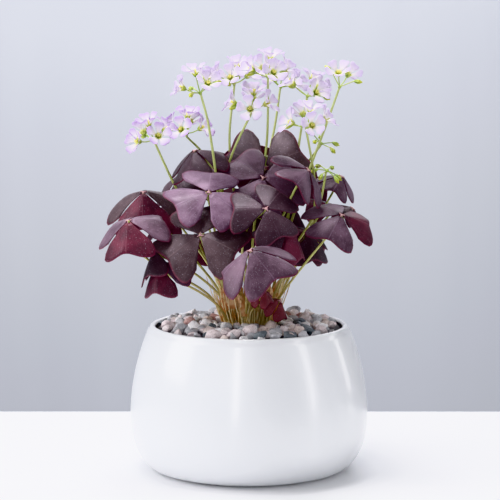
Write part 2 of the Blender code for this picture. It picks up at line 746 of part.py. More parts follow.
def make_umbel(umbel, hub, collection):
    """One head: the hub, its pedicels, buds and open flowers, fused."""
    shape = bmesh.new()
    bmesh.ops.create_icosphere(shape, subdivisions=1, radius=UMBEL_HUB, matrix=Matrix.Translation(hub))
    mesh = bpy.data.meshes.new("hub")
    shape.to_mesh(mesh)
    shape.free()
    pieces = [add_object("hub_" + umbel.name, mesh, collection, "petal")]
    for k, (way, length, flower) in enumerate(umbel_stems(umbel)):
        if flower:
            path = [hub, hub + way * (length + PETAL)]
            radii = [PEDICEL_RADIUS, CALYX_RADIUS]
        else:
            path = bud_path(hub, way, length)
            radii = [PEDICEL_RADIUS, PEDICEL_RADIUS, BUD_RADIUS, PEDICEL_RADIUS]
        pieces.append(tube(f"pedicel_{k}", path, radii, collection, "petal"))
    for k, (points, faces) in enumerate(umbel_flowers(umbel, hub)):
        corolla = add_object("corolla", mesh_of("corolla", points, faces), collection, "petal")
        thicken(corolla, PETAL)
        bpy.context.view_layer.update()
        solid = evaluated_copy(corolla)
        bpy.data.objects.remove(corolla)
        pieces.append(add_object(f"flower_{k}", solid, collection, "petal"))
    return fused("umbel_" + umbel.name, pieces, collection, "petal")


def main():
    clear_scene()
    home = new_collection("purple_shamrock")
    cutters = new_collection("cutters")
    cutters.hide_render = True
    make_pot(home)
    make_soil(home, cutters)
    make_gravel(home)
    placed = Placed()
    leaf_hubs = []
    for leaf in LEAVES:
        hub = Vector((leaf.x, leaf.y, leaf.z)) * MM
        hub += placed.settle(*leaf_surface(leaf, hub))
        leaf_hubs.append(hub)
        make_leaf(leaf, hub, home)
    umbel_hubs = []
    for umbel in UMBELS:
        hub = Vector((umbel.x, umbel.y, umbel.z)) * MM
        hub += placed.settle(*umbel_outline(umbel, hub))
        umbel_hubs.append(hub)
        make_umbel(umbel, hub, home)
    make_stalks(leaf_hubs, umbel_hubs, placed, home)


main()
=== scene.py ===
"""The look of the potted purple shamrock: fine leaves, flowers, stalks, pebbles and glaze on its frame.

The tables and the placing rules are those of the part's source, so each fine piece lies where its solid is.
Sizes are in millimetres where MM follows them or a table says so, and otherwise in metres.
"""
import math
from collections import namedtuple
from itertools import product
from random import Random

import bmesh
import bpy
from mathutils import Matrix, Vector, noise
from mathutils.bvhtree import BVHTree
from mathutils.kdtree import KDTree


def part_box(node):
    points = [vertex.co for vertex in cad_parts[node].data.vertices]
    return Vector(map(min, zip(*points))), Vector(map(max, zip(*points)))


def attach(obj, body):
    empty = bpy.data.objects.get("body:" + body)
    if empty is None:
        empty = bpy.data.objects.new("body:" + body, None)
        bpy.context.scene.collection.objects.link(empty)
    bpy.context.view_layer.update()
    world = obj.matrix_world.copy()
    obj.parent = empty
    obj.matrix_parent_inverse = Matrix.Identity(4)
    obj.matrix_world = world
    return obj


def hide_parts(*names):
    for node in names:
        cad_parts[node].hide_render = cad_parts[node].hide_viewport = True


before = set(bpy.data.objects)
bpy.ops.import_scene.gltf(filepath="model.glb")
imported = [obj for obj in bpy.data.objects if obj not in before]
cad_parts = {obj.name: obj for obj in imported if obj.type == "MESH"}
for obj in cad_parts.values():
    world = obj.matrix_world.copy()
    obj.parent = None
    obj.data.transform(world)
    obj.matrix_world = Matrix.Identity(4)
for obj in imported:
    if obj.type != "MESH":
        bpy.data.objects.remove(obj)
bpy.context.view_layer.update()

MM = 0.001
GAP = 0.3 * MM
GOLDEN_TURN = math.radians(137.5)

# The pot: a bowl of revolution, widest below its middle
POT_HEIGHT = 116 * MM
BELLY_RADIUS = 95 * MM
BELLY_HEIGHT = 42 * MM
FOOT_RADIUS = 70 * MM
RIM_RADIUS = 79 * MM
WALL = 4.6 * MM
FLOOR = 8 * MM
FOOT_EDGE = 2.5 * MM
POT_SIDES = 160

# The fill: potting soil with a mound in the middle, under a bed of gravel
SOIL_TOP = 100 * MM
MOUND_RADIUS = 25 * MM
MOUND_TOP = 117 * MM
GRAVEL_TOP = 119 * MM
GRAVEL_DROP = 3 * MM
SOIL_CLEAR = 2 * MM
BED_CLEAR = 1.6 * MM
FILL_SIDES = 120
PEBBLE_RADIUS = 6.5 * MM
PEBBLE_COUNT = 66
FILLER_PEBBLES = 170
PEBBLE_CUTS = 13
PEBBLE_SPANS = ((0.8, 1.25), (0.75, 1.15), (0.65, 0.95))

# The stalks: seven rootstocks, each with old stubs, petioles and scapes
NECK_RADIUS = 6.2 * MM
NECK_RING = 15.6 * MM
NECK_TOP = 119 * MM
STUBS = 5
PETIOLE_RADIUS = 0.85 * MM
SCAPE_RADIUS = 0.95 * MM
STUB_RING = 0.55
STUB_LEAN = 0.3
STUB_SPLAY = 1.2 * MM
STUB_HEIGHTS = (14 * MM, 28 * MM)
SUNK = 1.5 * MM
FOOT_SPREAD = 0.19
FOOT_LEAN = 0.6
STALK_POINTS = 6
STALK_BOWS = (0, -8, 8, -16, 16, -24, 24, -36, 36)
STALK_RISES = (0.42, 0.28, 0.56)
STALK_ARRIVALS = (0.24, 0.12, 0.36, 0.5)
STALK_NECKS = 6
UPRIGHT_WITHIN = 30 * MM
STRAIGHT_TIP = 1.5 * MM
STALK_STEP = 1.2 * MM
STALK_CLEARANCE = 1.6 * MM
TIP_FREE = 4 * MM
STALK_SPACING = 2.3 * MM
STALK_SIDES = 8
STALK_SMOOTH = 5
STRAWS = 26
STRAW_HEIGHTS = (14, 18, 22, 22, 26, 30, 36)
SHEATHS = 5
SHEATH_COLUMNS = 6
SHEATH_ROWS = 7

# The leaves: three leaflets on a small hub
BLADE = 0.66 * MM
BLADE_SHOWN = 0.45 * MM
BLADE_COLUMNS = 20
BLADE_RINGS = 10
HUB_RADIUS = 2.4 * MM
HALF_ANGLE = 50
WIDEST_SPREAD = 57
INNER_ANGLES = (-50, 0, 50)
OUTER_ANGLES = (-50, -38, -18, 0, 18, 38, 50)
INNER_RING = 0.52
LEAFLET_ARCH = 0.10
LEAFLET_CUP = 0.08
SOFT_FOLD = 3.5 * MM

# The flowers: five petals on a funnel
PETALS = 5
PETAL_SHOWN = 0.22 * MM
PETAL_COLUMNS = 6
PETAL_ROWS = 8
PETAL_REACH = 10.8 * MM
PETAL_HALF_WIDTH = 4.5 * MM
PETAL_RISE = 8 * MM
PETAL_CURL = 7 * MM
THROAT_RADIUS = 1.3 * MM
PEDICEL_RADIUS = 0.55 * MM
BUD_LENGTH = 6.5 * MM
UMBEL_HUB = 1.5 * MM

# The source shifts leaves and heads off their planned places in whole steps of this many millimetres
SHIFT_STEP = 3

# The view of the photograph, in metres, degrees and millimetres of lens, and the stage
CAMERA_PLACE = (0.0008, -1.5, 0.354)
CAMERA_PITCH = 6.8
LENS = 136.8
TABLE_EDGE = 0.214
TABLE_HALF = 2
WALL_PLACE = 2.3
WALL_HALF = 4
WALL_HEIGHTS = (-1.5, 3.5)
SKY_COLOUR = (0.93, 0.955, 1.0, 1)
SKY = 0.28
LIGHT_COLOUR = (1.0, 0.985, 0.98)
# Each light's power, place, target, width and height. The tall narrow ones give the pot its upright streaks.
LIGHTS = (
    ("ceiling", 24, (-0.2, 0.1, 1.35), (0, 0, 0.1), 0.5, 0.5),
    ("left_window", 15, (-1.1, -0.2, 0.75), (0, 0, 0.15), 0.7, 1.0),
    ("front_strip", 10, (-0.42, -1.9, 0.7), (0, 0, 0.15), 0.14, 1.4),
    ("right_strip", 4, (1.16, -0.6, 0.6), (0, 0, 0.15), 0.14, 1.2),
    ("far_strip", 2, (1.1, 0.45, 0.6), (0, 0, 0.15), 0.08, 1.2),
    ("back_fill", 5, (0.4, 1.7, 1.3), (0, 0, 0.2), 1.0, 0.8),
    ("wall_wash", 33, (-0.15, 1.5, 1.7), (-0.15, 2.3, 0.5), 2.6, 0.5),
)

# Each kind of stone: its darker and lighter tone, its roughness and its share among the stones
PEBBLE_KINDS = (
    ("grey", (0.34, 0.34, 0.37), (0.60, 0.60, 0.64), 0.6, 8),
    ("slate", (0.09, 0.11, 0.13), (0.22, 0.25, 0.28), 0.5, 3),
    ("pink", (0.64, 0.54, 0.56), (0.90, 0.82, 0.84), 0.65, 9),
    ("tan", (0.56, 0.46, 0.44), (0.82, 0.72, 0.69), 0.65, 3),
    ("white", (0.78, 0.76, 0.79), (0.96, 0.94, 0.96), 0.6, 6),
    ("russet", (0.38, 0.20, 0.19), (0.62, 0.42, 0.40), 0.6, 1),
)

# Each kind of blade: its darker and lighter tone, its sheen, its ribs and its roughness
LEAF_TONES = {
    "dark": ((0.032, 0.021, 0.025), (0.084, 0.054, 0.068), 0.02, (0.14, 0.08, 0.11), 0.42),
    "brown": ((0.046, 0.032, 0.035), (0.106, 0.074, 0.082), 0.02, (0.18, 0.12, 0.13), 0.46),
    "plum": ((0.062, 0.038, 0.052), (0.190, 0.120, 0.166), 0.06, (0.26, 0.17, 0.25), 0.40),
    # The highlit violet tone is a painted highlight: the blade's purple drawn lighter and more violet where
    # it catches the light
    "violet": ((0.100, 0.058, 0.090), (0.258, 0.166, 0.242), 0.10, (0.38, 0.26, 0.38), 0.40),
    "young": ((0.110, 0.030, 0.034), (0.290, 0.085, 0.095), 0.03, (0.40, 0.16, 0.16), 0.40),
    "under": ((0.046, 0.014, 0.021), (0.160, 0.030, 0.052), 0.03, (0.26, 0.09, 0.12), 0.45),
}
LEAF_EDGE = (0.17, 0.028, 0.055)
LEAF_SPECK = (0.42, 0.34, 0.42)
# The leaves that aren't dark or young
TONES = {
    # front_a takes the highlit violet tone: a painted highlight on its blade
    "violet": ("front_a",),
    "plum": ("front_e", "right_a", "left_b", "left_d", "top_c", "right_d", "back_d", "back_a", "front_c"),
    "brown": ("front_b", "left_a", "right_c", "top_a", "back_g"),
}
# The leaflet of a leaf that is turned over on its joint, so that the crimson side shows
TURNED_OVER = {"left_a": 0, "left_b": 0, "left_d": 0, "front_f": 0, "front_g": 2, "right_a": 1, "right_b": 2}

Leaf = namedtuple("Leaf", "name x y z azimuth tilt spin length droop fold")
# x, y and z of the hub; the way the leaf faces, where azimuth 0 is the front and 90 the right, and how far
# it leans that way; the turn of its first leaflet from the downhill side; a leaflet's length, droop and fold
LEAVES = (
    Leaf("front_a", -31, -45, 225, 8, 38, 50, 31, 3, 10),
    Leaf("front_b", -37, -62, 194, -8, 46, 68, 34, 4, 12),
    Leaf("front_c", 11, -32, 234, 8, 48, -22, 33, 4, 12),
    Leaf("front_d", 13, -62, 214, 15, 50, 20, 27, 6, 14),
    Leaf("front_e", 1, -88, 188, -30, 32, 60, 33, 26, 22),
    Leaf("front_f", 31, -58, 200, 50, 34, 14, 29, 32, 26),
    Leaf("front_g", 0, -38, 205, -20, 28, 40, 27, 28, 18),
    Leaf("top_a", 13, 4, 240, 0, 60, 0, 36, 0, 10),
    Leaf("top_b", -40, -4, 248, -45, 26, 20, 27, 22, 24),
    Leaf("top_c", 46, -2, 238, 70, 46, 44, 26, 14, 22),
    Leaf("top_d", 8, 42, 246, 170, 40, 60, 32, 12, 18),
    Leaf("left_a", -83, -10, 222, -10, 30, 5, 34, 26, 20),
    Leaf("left_b", -92, -44, 204, -30, 34, 15, 30, 20, 20),
    Leaf("left_c", -56, 12, 232, -55, 34, 50, 28, 16, 18),
    Leaf("left_d", -69, -46, 169, -48, 36, 12, 25, 26, 26),
    Leaf("left_e", -73, -14, 180, -86, 36, 40, 27, 22, 22),
    Leaf("right_a", 72, -30, 206, 20, 34, -40, 28, 12, 16),
    Leaf("right_b", 46, -12, 190, 36, 38, 0, 25, 20, 20),
    Leaf("right_c", 82, 4, 208, 86, 36, 10, 19, 16, 26),
    Leaf("right_d", 74, 20, 232, 60, 28, 50, 20, 26, 26),
    Leaf("right_e", 34, 24, 208, 60, 30, 0, 23, 28, 20),
    Leaf("back_a", -66, 32, 208, -128, 44, 0, 32, 12, 18),
    Leaf("back_b", -38, 56, 230, -150, 42, 58, 31, 10, 16),
    Leaf("back_c", 0, 76, 206, 178, 48, 0, 33, 10, 16),
    Leaf("back_d", 42, 58, 232, 146, 42, 60, 31, 10, 16),
    Leaf("back_e", 72, 56, 204, 116, 46, 4, 30, 14, 20),
    Leaf("back_f", -44, 66, 180, -150, 36, 0, 28, 24, 24),
    Leaf("back_g", 44, 68, 184, 148, 36, 56, 29, 22, 24),
    Leaf("young_a", 24, -34, 139, 60, 40, 0, 15, 24, 34),
    Leaf("young_b", 10, -36, 149, 10, 30, 40, 13, 30, 30),
)

Stalk = namedtuple("Stalk", "tip arrive radius")
Umbel = namedtuple("Umbel", "name x y z azimuth tilt flowers buds pedicel spread")
# The umbel's hub, the way it leans, its open flowers and buds, the pedicel's length and the dome's spread
UMBELS = (
    Umbel("left_a", -75, -4, 263, -60, 24, 5, 1, 12, 70),
    Umbel("left_b", -50, 32, 266, -20, 12, 5, 1, 12, 66),
    Umbel("top_a", -38, -14, 300, -60, 20, 4, 3, 14, 62),
    Umbel("top_b", -12, 24, 306, -10, 10, 5, 2, 13, 66),
    Umbel("top_c", 2, -10, 288, -10, 16, 5, 1, 12, 70),
    Umbel("top_d", 15, 12, 312, 20, 8, 5, 1, 13, 66),
    Umbel("top_e", 26, 66, 302, 120, 14, 5, 1, 13, 66),
    Umbel("right_a", 45, -25, 274, 20, 16, 5, 1, 13, 72),
    Umbel("right_b", 47, 40, 296, 60, 14, 4, 2, 13, 66),
    Umbel("right_c", 72, 14, 304, 70, 20, 2, 2, 14, 50),
    Umbel("spent_a", 58, 28, 258, 60, 30, 0, 5, 10, 74),
    Umbel("spent_b", 62, 6, 238, 40, 30, 0, 6, 9, 96),
)


def around(turn):
    """The level unit vector at an angle from +X."""
    return Vector((math.cos(turn), math.sin(turn), 0))


def ring_spot(radius, turn, height):
    return Vector((radius * math.cos(turn), radius * math.sin(turn), height))


def spaced(start, end, steps):
    """Evenly spaced values from start to end."""
    return [start + (end - start) * i / steps for i in range(steps + 1)]


def outer_radius(height):
    """The pot's outside: a parabola above the belly and a quarter ellipse below it."""
    if height >= BELLY_HEIGHT:
        share = (height - BELLY_HEIGHT) / (POT_HEIGHT - BELLY_HEIGHT)
        return BELLY_RADIUS - (BELLY_RADIUS - RIM_RADIUS) * share**2
    share = (BELLY_HEIGHT - height) / BELLY_HEIGHT
    return FOOT_RADIUS + (BELLY_RADIUS - FOOT_RADIUS) * math.sqrt(1 - share**2)


def inner_radius(height):
    return outer_radius(height) - WALL


def neck_places():
    """The rootstocks' places: one in the middle and six round it."""
    places = [Vector((0, 0))]
    for k in range(6):
        turn = math.radians(60 * k)
        places.append(Vector((math.sin(turn), -math.cos(turn))) * NECK_RING)
    return places


def gravel_height(radius):
    """The bed's top: nearly level over the middle, falling towards the wall."""
    return GRAVEL_TOP - GRAVEL_DROP * (radius / (RIM_RADIUS - WALL)) ** 4


def spiral_radius(k, count, inside, outside):
    """The radius of one of count places on a sunflower spiral over a ring."""
    return math.sqrt(inside**2 + (outside**2 - inside**2) * (k + 0.5) / count)


def pebble_places():
    """The place and radius of each pebble of the solid."""
    random = Random(11)
    outside = RIM_RADIUS - WALL - 1.25 * PEBBLE_RADIUS
    places = []
    for k in range(PEBBLE_COUNT):
        radius = spiral_radius(k, PEBBLE_COUNT, MOUND_RADIUS + PEBBLE_RADIUS, outside)
        size = PEBBLE_RADIUS * random.uniform(0.78, 1.06)
        places.append((ring_spot(radius, k * GOLDEN_TURN, gravel_height(radius)), size))
        # The source draws each pebble's turn and tilt here
        random.uniform(0, math.tau)
        random.uniform(-0.18, 0.18)
    return places


def direction(azimuth, tilt):
    """The unit vector that leans from upright by tilt towards azimuth; 0 is the front and 90 the right."""
    a, t = math.radians(azimuth), math.radians(tilt)
    return Vector((math.sin(a) * math.sin(t), -math.cos(a) * math.sin(t), math.cos(t)))


def leaf_axes(leaf, hub):
    """The leaf's place: x downhill, y across, z along its normal, origin at the hub."""
    normal = direction(leaf.azimuth, leaf.tilt)
    downhill = direction(leaf.azimuth, leaf.tilt + 90)
    across = normal.cross(downhill)
    axes = Matrix((downhill, across, normal)).transposed().to_4x4()
    return Matrix.Translation(hub) @ axes


def leaflet_reach(angle):
    """The leaflet's outline, as a share of its length from the hub: a wide triangle with round corners."""
    share = abs(angle) / HALF_ANGLE
    corner = 0.25 * math.sin(math.pi / 2 * min(share / 0.76, 1)) ** 2
    shoulder = 0.37 * max(0, (share - 0.76) / 0.24) ** 1.6
    return 0.92 + corner - shoulder


def leaflet_spread(leaf):
    """The half angle that a leaflet opens to: folded and drooping ones open less, so they don't cross."""
    droop, fold = math.radians(leaf.droop), math.radians(leaf.fold)
    slope = math.tan(math.radians(WIDEST_SPREAD))
    narrowed = math.cos(fold) + slope * math.sin(fold) * math.sin(droop)
    most = math.atan(slope * math.cos(droop) / narrowed)
    return min(HALF_ANGLE, math.degrees(most))


def leaflet_distance(leaf, angle, ring):
    """How far a leaflet's point is from the hub. ring is 1 at the edge, and angle starts at the midrib."""
    return HUB_RADIUS + (leaf.length * MM * leaflet_reach(angle) - HUB_RADIUS) * ring


def leaflet_point(leaf, turn, angle, ring):
    """A leaflet's point in the leaf's axes."""
    length = leaf.length * MM
    distance = leaflet_distance(leaf, angle, ring)
    opened = math.radians(angle) * leaflet_spread(leaf) / HALF_ANGLE
    along = distance * math.cos(opened)
    aside = distance * math.sin(opened)
    fold = math.radians(leaf.fold)
    flat = Vector((along, aside * math.cos(fold), -abs(aside) * math.sin(fold)))
    flat.z -= LEAFLET_ARCH * along**2 / length + LEAFLET_CUP * aside**2 / length
    hinge = Vector((HUB_RADIUS, 0, 0))
    drooped = Matrix.Rotation(math.radians(leaf.droop), 3, "Y") @ (flat - hinge)
    return Matrix.Rotation(turn, 3, "Z") @ (drooped + hinge)


def leaf_surface(leaf, hub):
    """The open surface of three leaflets: a six-sided hub with a V on three sides that opens into a fan."""
    points = [around(math.radians(leaf.spin + 60 * k - 30)) * HUB_RADIUS * 0.8 for k in range(6)]
    faces = [(0, 1, 2), (0, 2, 3), (0, 3, 5), (3, 4, 5)]
    for k in range(3):
        turn = math.radians(leaf.spin + 120 * k)
        left, right = 2 * k, 2 * k + 1
        low = len(points)
        points += [leaflet_point(leaf, turn, angle, INNER_RING) for angle in INNER_ANGLES]
        faces += [(left, low, low + 1), (left, low + 1, right), (right, low + 1, low + 2)]
        edge = len(points)
        points += [leaflet_point(leaf, turn, angle, 1.0) for angle in OUTER_ANGLES]
        faces += [(low, edge, edge + 1), (low, edge + 1, edge + 2), (low, edge + 2, low + 1)]
        faces += [(low + 1, edge + i, edge + i + 1) for i in (2, 3)]
        faces += [(low + 1, edge + 4, low + 2)]
        faces += [(low + 2, edge + 4, edge + 5), (low + 2, edge + 5, edge + 6)]
    place = leaf_axes(leaf, hub)
    return [place @ p for p in points], faces


def shift(node, points):
    """How far a solid stands off its planned points, in whole steps, by the middle of its box."""
    low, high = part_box(node)
    steps = []
    for axis in range(3):
        planned = [p[axis] for p in points]
        gap = (low[axis] + high[axis] - min(planned) - max(planned)) / 2
        steps.append(round(gap / (SHIFT_STEP * MM)) * SHIFT_STEP)
    return Vector(steps) * MM


class Surfaces:
    """The open surfaces of leaves and heads, where their solids are."""

    def __init__(self):
        self.points = []
        self.faces = []

    def place(self, node, hub, points, faces):
        """Adds a surface where its solid is, and returns the hub there."""
        move = shift(node, points)
        base = len(self.points)
        self.points += [p + move for p in points]
        self.faces += [tuple(base + i for i in face) for face in faces]
        return hub + move


def bezier(points, share):
    a, b, c, d = points
    rest = 1 - share
    return a * rest**3 + b * 3 * rest**2 * share + c * 3 * rest * share**2 + d * share**3


def stalk_line(neck, order, stalk, bows, rise, arrival):
    """A rootstock's stalk, as points up to its tip, bowed sideways low down and near the tip."""
    outward = Vector((stalk.tip.x - neck.x, stalk.tip.y - neck.y, 0))
    top = stalk.tip - stalk.arrive * STRAIGHT_TIP
    side = Vector((-outward.y, outward.x, 0)).normalized() * MM
    spread = Vector((NECK_RADIUS * FOOT_SPREAD * math.sqrt(order + 1), 0, 0))
    foot = Matrix.Rotation(order * GOLDEN_TURN, 3, "Z") @ spread
    start = Vector((neck.x, neck.y, NECK_TOP - SUNK)) + foot
    length = (top - start).length
    leave = (Vector((0, 0, 1)) + outward * (FOOT_LEAN / length)).normalized()
    low = start + leave * rise * length + side * bows[0]
    high = top - stalk.arrive * arrival * length + side * bows[1]
    ends = (start, low, high, top)
    return [bezier(ends, i / (STALK_POINTS - 1)) for i in range(STALK_POINTS)] + [stalk.tip]


def close_points(line):
    """Points along a line, a millimetre or so apart."""
    found = []
    for a, b in zip(line, line[1:]):
        steps = max(1, round((b - a).length / STALK_STEP))
        found += [a.lerp(b, i / steps) for i in range(steps)]
    return found + [line[-1]]


def likely_necks(tip):
    """The rootstocks that a stalk may grow from, the likeliest first: on its side, or the middle one."""
    places = neck_places()
    side = Vector((tip.x, tip.y))
    order = sorted(range(1, len(places)), key=lambda k: -places[k].dot(side))[:STALK_NECKS]
    return [0] + order if side.length < UPRIGHT_WITHIN else order


def stub_paths(k):
    """The stubs of old stalks on a rootstock, each as its foot and its tip."""
    random = Random(60 + k)
    place = neck_places()[k]
    found = []
    for s in range(STUBS):
        out = around(math.tau * (s + random.uniform(-0.15, 0.15)) / STUBS)
        foot = Vector((place.x, place.y, NECK_TOP - SUNK)) + out * NECK_RADIUS * STUB_RING
        lean = Vector((place.x, place.y, 0)) * STUB_LEAN + out * STUB_SPLAY
        rise = random.uniform(*STUB_HEIGHTS)
        found.append((foot, foot + lean + Vector((0, 0, rise))))
    return found


def route(stalk, grown, surfaces, taken):
    """A rootstock and a line from it that is clear of the surfaces and of the other tufts' stalks."""
    places = neck_places()
    bows = sorted(product(STALK_BOWS, STALK_BOWS), key=lambda pair: abs(pair[0]) + abs(pair[1]))
    for k in likely_necks(stalk.tip):
        others = [point for owner, point in taken if owner != k]
        near = KDTree(len(others))
        for i, point in enumerate(others):
            near.insert(point, i)
        near.balance()
        for pair, arrival, rise in product(bows, STALK_ARRIVALS, STALK_RISES):
            line = stalk_line(places[k], grown[k], stalk, pair, rise, arrival)
            path = close_points(line)
            free = [p for p in path if (p - stalk.tip).length > TIP_FREE]
            apart = all(near.find(p)[2] > STALK_SPACING for p in path)
            if apart and all(surfaces.find_nearest(p, STALK_CLEARANCE)[0] is None for p in free):
                return k, line
    k = likely_necks(stalk.tip)[0]
    return k, stalk_line(places[k], grown[k], stalk, (0, 0), STALK_RISES[0], STALK_ARRIVALS[0])


def wanted_stalks(leaf_hubs, umbel_hubs):
    """The scapes and petioles, each as its tip, the way it arrives there and its radius."""
    found = []
    for umbel, hub in zip(UMBELS, umbel_hubs):
        axis = direction(umbel.azimuth, umbel.tilt)
        found.append(Stalk(hub - axis * (UMBEL_HUB + GAP), axis, SCAPE_RADIUS))
    for leaf, hub in zip(LEAVES, leaf_hubs):
        normal = direction(leaf.azimuth, leaf.tilt)
        found.append(Stalk(hub - normal * (BLADE / 2 + GAP), normal, PETIOLE_RADIUS))
    return found


def aim(origin, axis, turn=0.0):
    """A place with its z along axis."""
    upright = axis.to_track_quat("Z", "Y").to_matrix().to_4x4()
    return Matrix.Translation(origin) @ upright @ Matrix.Rotation(turn, 4, "Z")


def flower_place(umbel, hub, k, way, length):
    """A flower's place at the end of its pedicel, turned a little towards the head's axis."""
    axis = direction(umbel.azimuth, umbel.tilt)
    return aim(hub + way * length, (way + axis * 0.25).normalized(), k)


def flower_surface(place):
    """The open surface of a flower: a small five-sided throat and a blunt petal on each of its sides."""
    points = [around(math.tau * (k - 0.5) / PETALS) * THROAT_RADIUS for k in range(PETALS)]
    faces = [(0, 1, 2), (0, 2, 4), (2, 3, 4)]
    for k in range(PETALS):
        spin = Matrix.Rotation(math.tau * k / PETALS, 3, "Z")
        left, right = k, (k + 1) % PETALS
        base = len(points)
        points += [spin @ Vector((PETAL_REACH, side * PETAL_HALF_WIDTH, PETAL_RISE)) for side in (-1, 1)]
        faces += [(left, base, base + 1), (left, base + 1, right)]
    return [place @ p for p in points], faces


def umbel_stems(umbel):
    """The pedicels of an umbel on a loose dome: (direction, length, carries a flower) for each."""
    random = Random(umbel.name)
    axis = direction(umbel.azimuth, umbel.tilt)
    home = aim(Vector((0, 0, 0)), axis).to_3x3()
    found = []
    for k in range(umbel.flowers + umbel.buds):
        flower = k < umbel.flowers
        if flower:
            middle = umbel.flowers >= 4
            polar = 8 if middle and k == 0 else umbel.spread
            turn = math.tau * k / (umbel.flowers - middle)
        else:
            polar = umbel.spread * 1.1 if umbel.flowers else umbel.spread
            turn = math.tau * (k - umbel.flowers + 0.5) / umbel.buds
        turn += random.uniform(-0.15, 0.15)
        lean = math.radians(polar + random.uniform(-6, 6))
        way = home @ ring_spot(math.sin(lean), turn, math.cos(lean))
        found.append((way, umbel.pedicel * MM * random.uniform(0.9, 1.1), flower))
    return found


def bud_path(hub, way, length):
    """A pedicel that ends in a nodding bud."""
    end = hub + way * length
    nod = (way + Vector((0, 0, -0.5))).normalized()
    return [hub, end, end + nod * BUD_LENGTH * 0.45, end + nod * BUD_LENGTH]


def umbel_outline(umbel, hub):
    """Flowers, buds and pedicels as thin open surfaces, which stalks keep clear of."""
    points = []
    faces = []
    for k, (way, length, flower) in enumerate(umbel_stems(umbel)):
        if flower:
            flower_points, flower_faces = flower_surface(flower_place(umbel, hub, k, way, length))
            faces += [tuple(len(points) + i for i in face) for face in flower_faces]
            points += flower_points
    width = Vector((0, 0, 1.2 * MM))
    for way, length, flower in umbel_stems(umbel):
        path = [hub, hub + way * length] if flower else bud_path(hub, way, length)
        for a, b in zip(path, path[1:]):
            base = len(points)
            points += [a - width, a + width, b - width, b + width]
            faces += [(base, base + 1, base + 2), (base + 1, base + 3, base + 2)]
    return points, faces


# Shader nodes


def add(tree, kind, inputs=None, **settings):
    """A shader node. inputs holds plain values, or the sockets that feed it."""
    made = tree.nodes.new("ShaderNode" + kind)
    for name, value in settings.items():
        setattr(made, name, value)
    for name, value in (inputs or {}).items():
        if isinstance(value, bpy.types.NodeSocket):
            tree.links.new(value, made.inputs[name])
        else:
            made.inputs[name].default_value = value
    return made


def maths(tree, operation, first, second=0.0):
    return add(tree, "Math", {0: first, 1: second}, operation=operation).outputs[0]


def times(tree, first, second):
    return maths(tree, "MULTIPLY", first, second)


def opaque(colour):
    """A plain colour with its alpha. A socket stays as it is."""
    return colour if isinstance(colour, bpy.types.NodeSocket) else (*colour, 1)


def blended(tree, share, first, second):
    """A colour between two colours."""
    return add(tree, "Mix", {0: share, 6: opaque(first), 7: opaque(second)}, data_type="RGBA").outputs[2]


def ramp(tree, share, stops):
    """A colour from (place, colour) stops."""
    made = add(tree, "ValToRGB", {0: share})
    elements = made.color_ramp.elements
    while len(elements) < len(stops):
        elements.new(0.5)
    for element, (place, colour) in zip(elements, stops):
        element.position = place
        element.color = opaque(colour)
    return made.outputs[0]


def mask(tree, value, low, high, most=1.0):
    """Black where the value is under low, and a grey of most where it is over high."""
    return ramp(tree, value, ((low, (0, 0, 0)), (high, (most, most, most))))


def fade(tree, value, start, end):
    """0 where the value is start, 1 where it is end."""
    return add(tree, "MapRange", {0: value, 1: start, 2: end}).outputs[0]


def stripes(tree, value, half):
    """1 in the middle of each whole step of the value, falling to 0 at half a stripe's width."""
    middle = maths(tree, "SUBTRACT", maths(tree, "FRACT", value), 0.5)
    return fade(tree, maths(tree, "ABSOLUTE", middle), half, 0.0)


def places(tree):
    return add(tree, "TexCoord").outputs["Object"]


def height_of(tree):
    return add(tree, "SeparateXYZ", {0: places(tree)}).outputs[2]


def noise_value(tree, scale, detail=3.0, roughness=0.55):
    inputs = {"Vector": places(tree), "Scale": scale, "Detail": detail, "Roughness": roughness}
    return add(tree, "TexNoise", inputs).outputs[0]


def streaks(tree, scales, detail):
    """Noise with its own scale along x, y and z, so that it runs in streaks."""
    spots = add(tree, "Mapping", {0: places(tree), 3: scales}).outputs[0]
    return add(tree, "TexNoise", {"Vector": spots, "Scale": 1.0, "Detail": detail}).outputs[0]


def bumped(tree, height, distance, strength=1.0, under=None):
    inputs = {"Height": height, "Distance": distance, "Strength": strength}
    if under:
        inputs["Normal"] = under
    return add(tree, "Bump", inputs).outputs[0]


def new_material(name):
    """A material, its tree and its Principled shader."""
    made = bpy.data.materials.new(name)
    made.use_nodes = True
    return made, made.node_tree, made.node_tree.nodes["Principled BSDF"]


def feed(tree, shader, **values):
    """Sets a shader's inputs. An underscore in a name stands for a space."""
    for name, value in values.items():
        socket = shader.inputs[name.replace("_", " ")]
        if isinstance(value, bpy.types.NodeSocket):
            tree.links.new(value, socket)
        else:
            socket.default_value = value


def let_through(tree, shader, share, **values):
    """Mixes a share of light that comes through into the surface."""
    through = add(tree, "BsdfTranslucent", values).outputs[0]
    mixed = add(tree, "MixShader", {0: share, 1: shader.outputs[0], 2: through}).outputs[0]
    tree.links.new(mixed, tree.nodes["Material Output"].inputs["Surface"])


def marks(tree):
    """The two values that each point carries, such as across and along a leaflet."""
    split = add(tree, "SeparateXYZ", {0: add(tree, "UVMap", uv_map="marks").outputs[0]})
    return split.outputs[0], split.outputs[1]


# Materials


def glaze_material():
    """White glaze: faint clouds, slow waves in its surface and a fine grain."""
    made, tree, shader = new_material("white_glaze")
    colour = blended(tree, noise_value(tree, 9.0, 2.0), (0.66, 0.675, 0.71), (0.72, 0.735, 0.765))
    fine = noise_value(tree, 420.0, 2.0)
    waves = bumped(tree, noise_value(tree, 14.0, 1.0), 0.0008, 0.35)
    rough = maths(tree, "ADD", times(tree, fine, 0.06), 0.32)
    feed(tree, shader, Base_Color=colour, Roughness=rough, Normal=bumped(tree, fine, 0.00004, 0.5, waves))
    feed(tree, shader, Coat_Weight=0.8, Coat_Roughness=0.17, Coat_IOR=1.55, IOR=1.5)
    return made


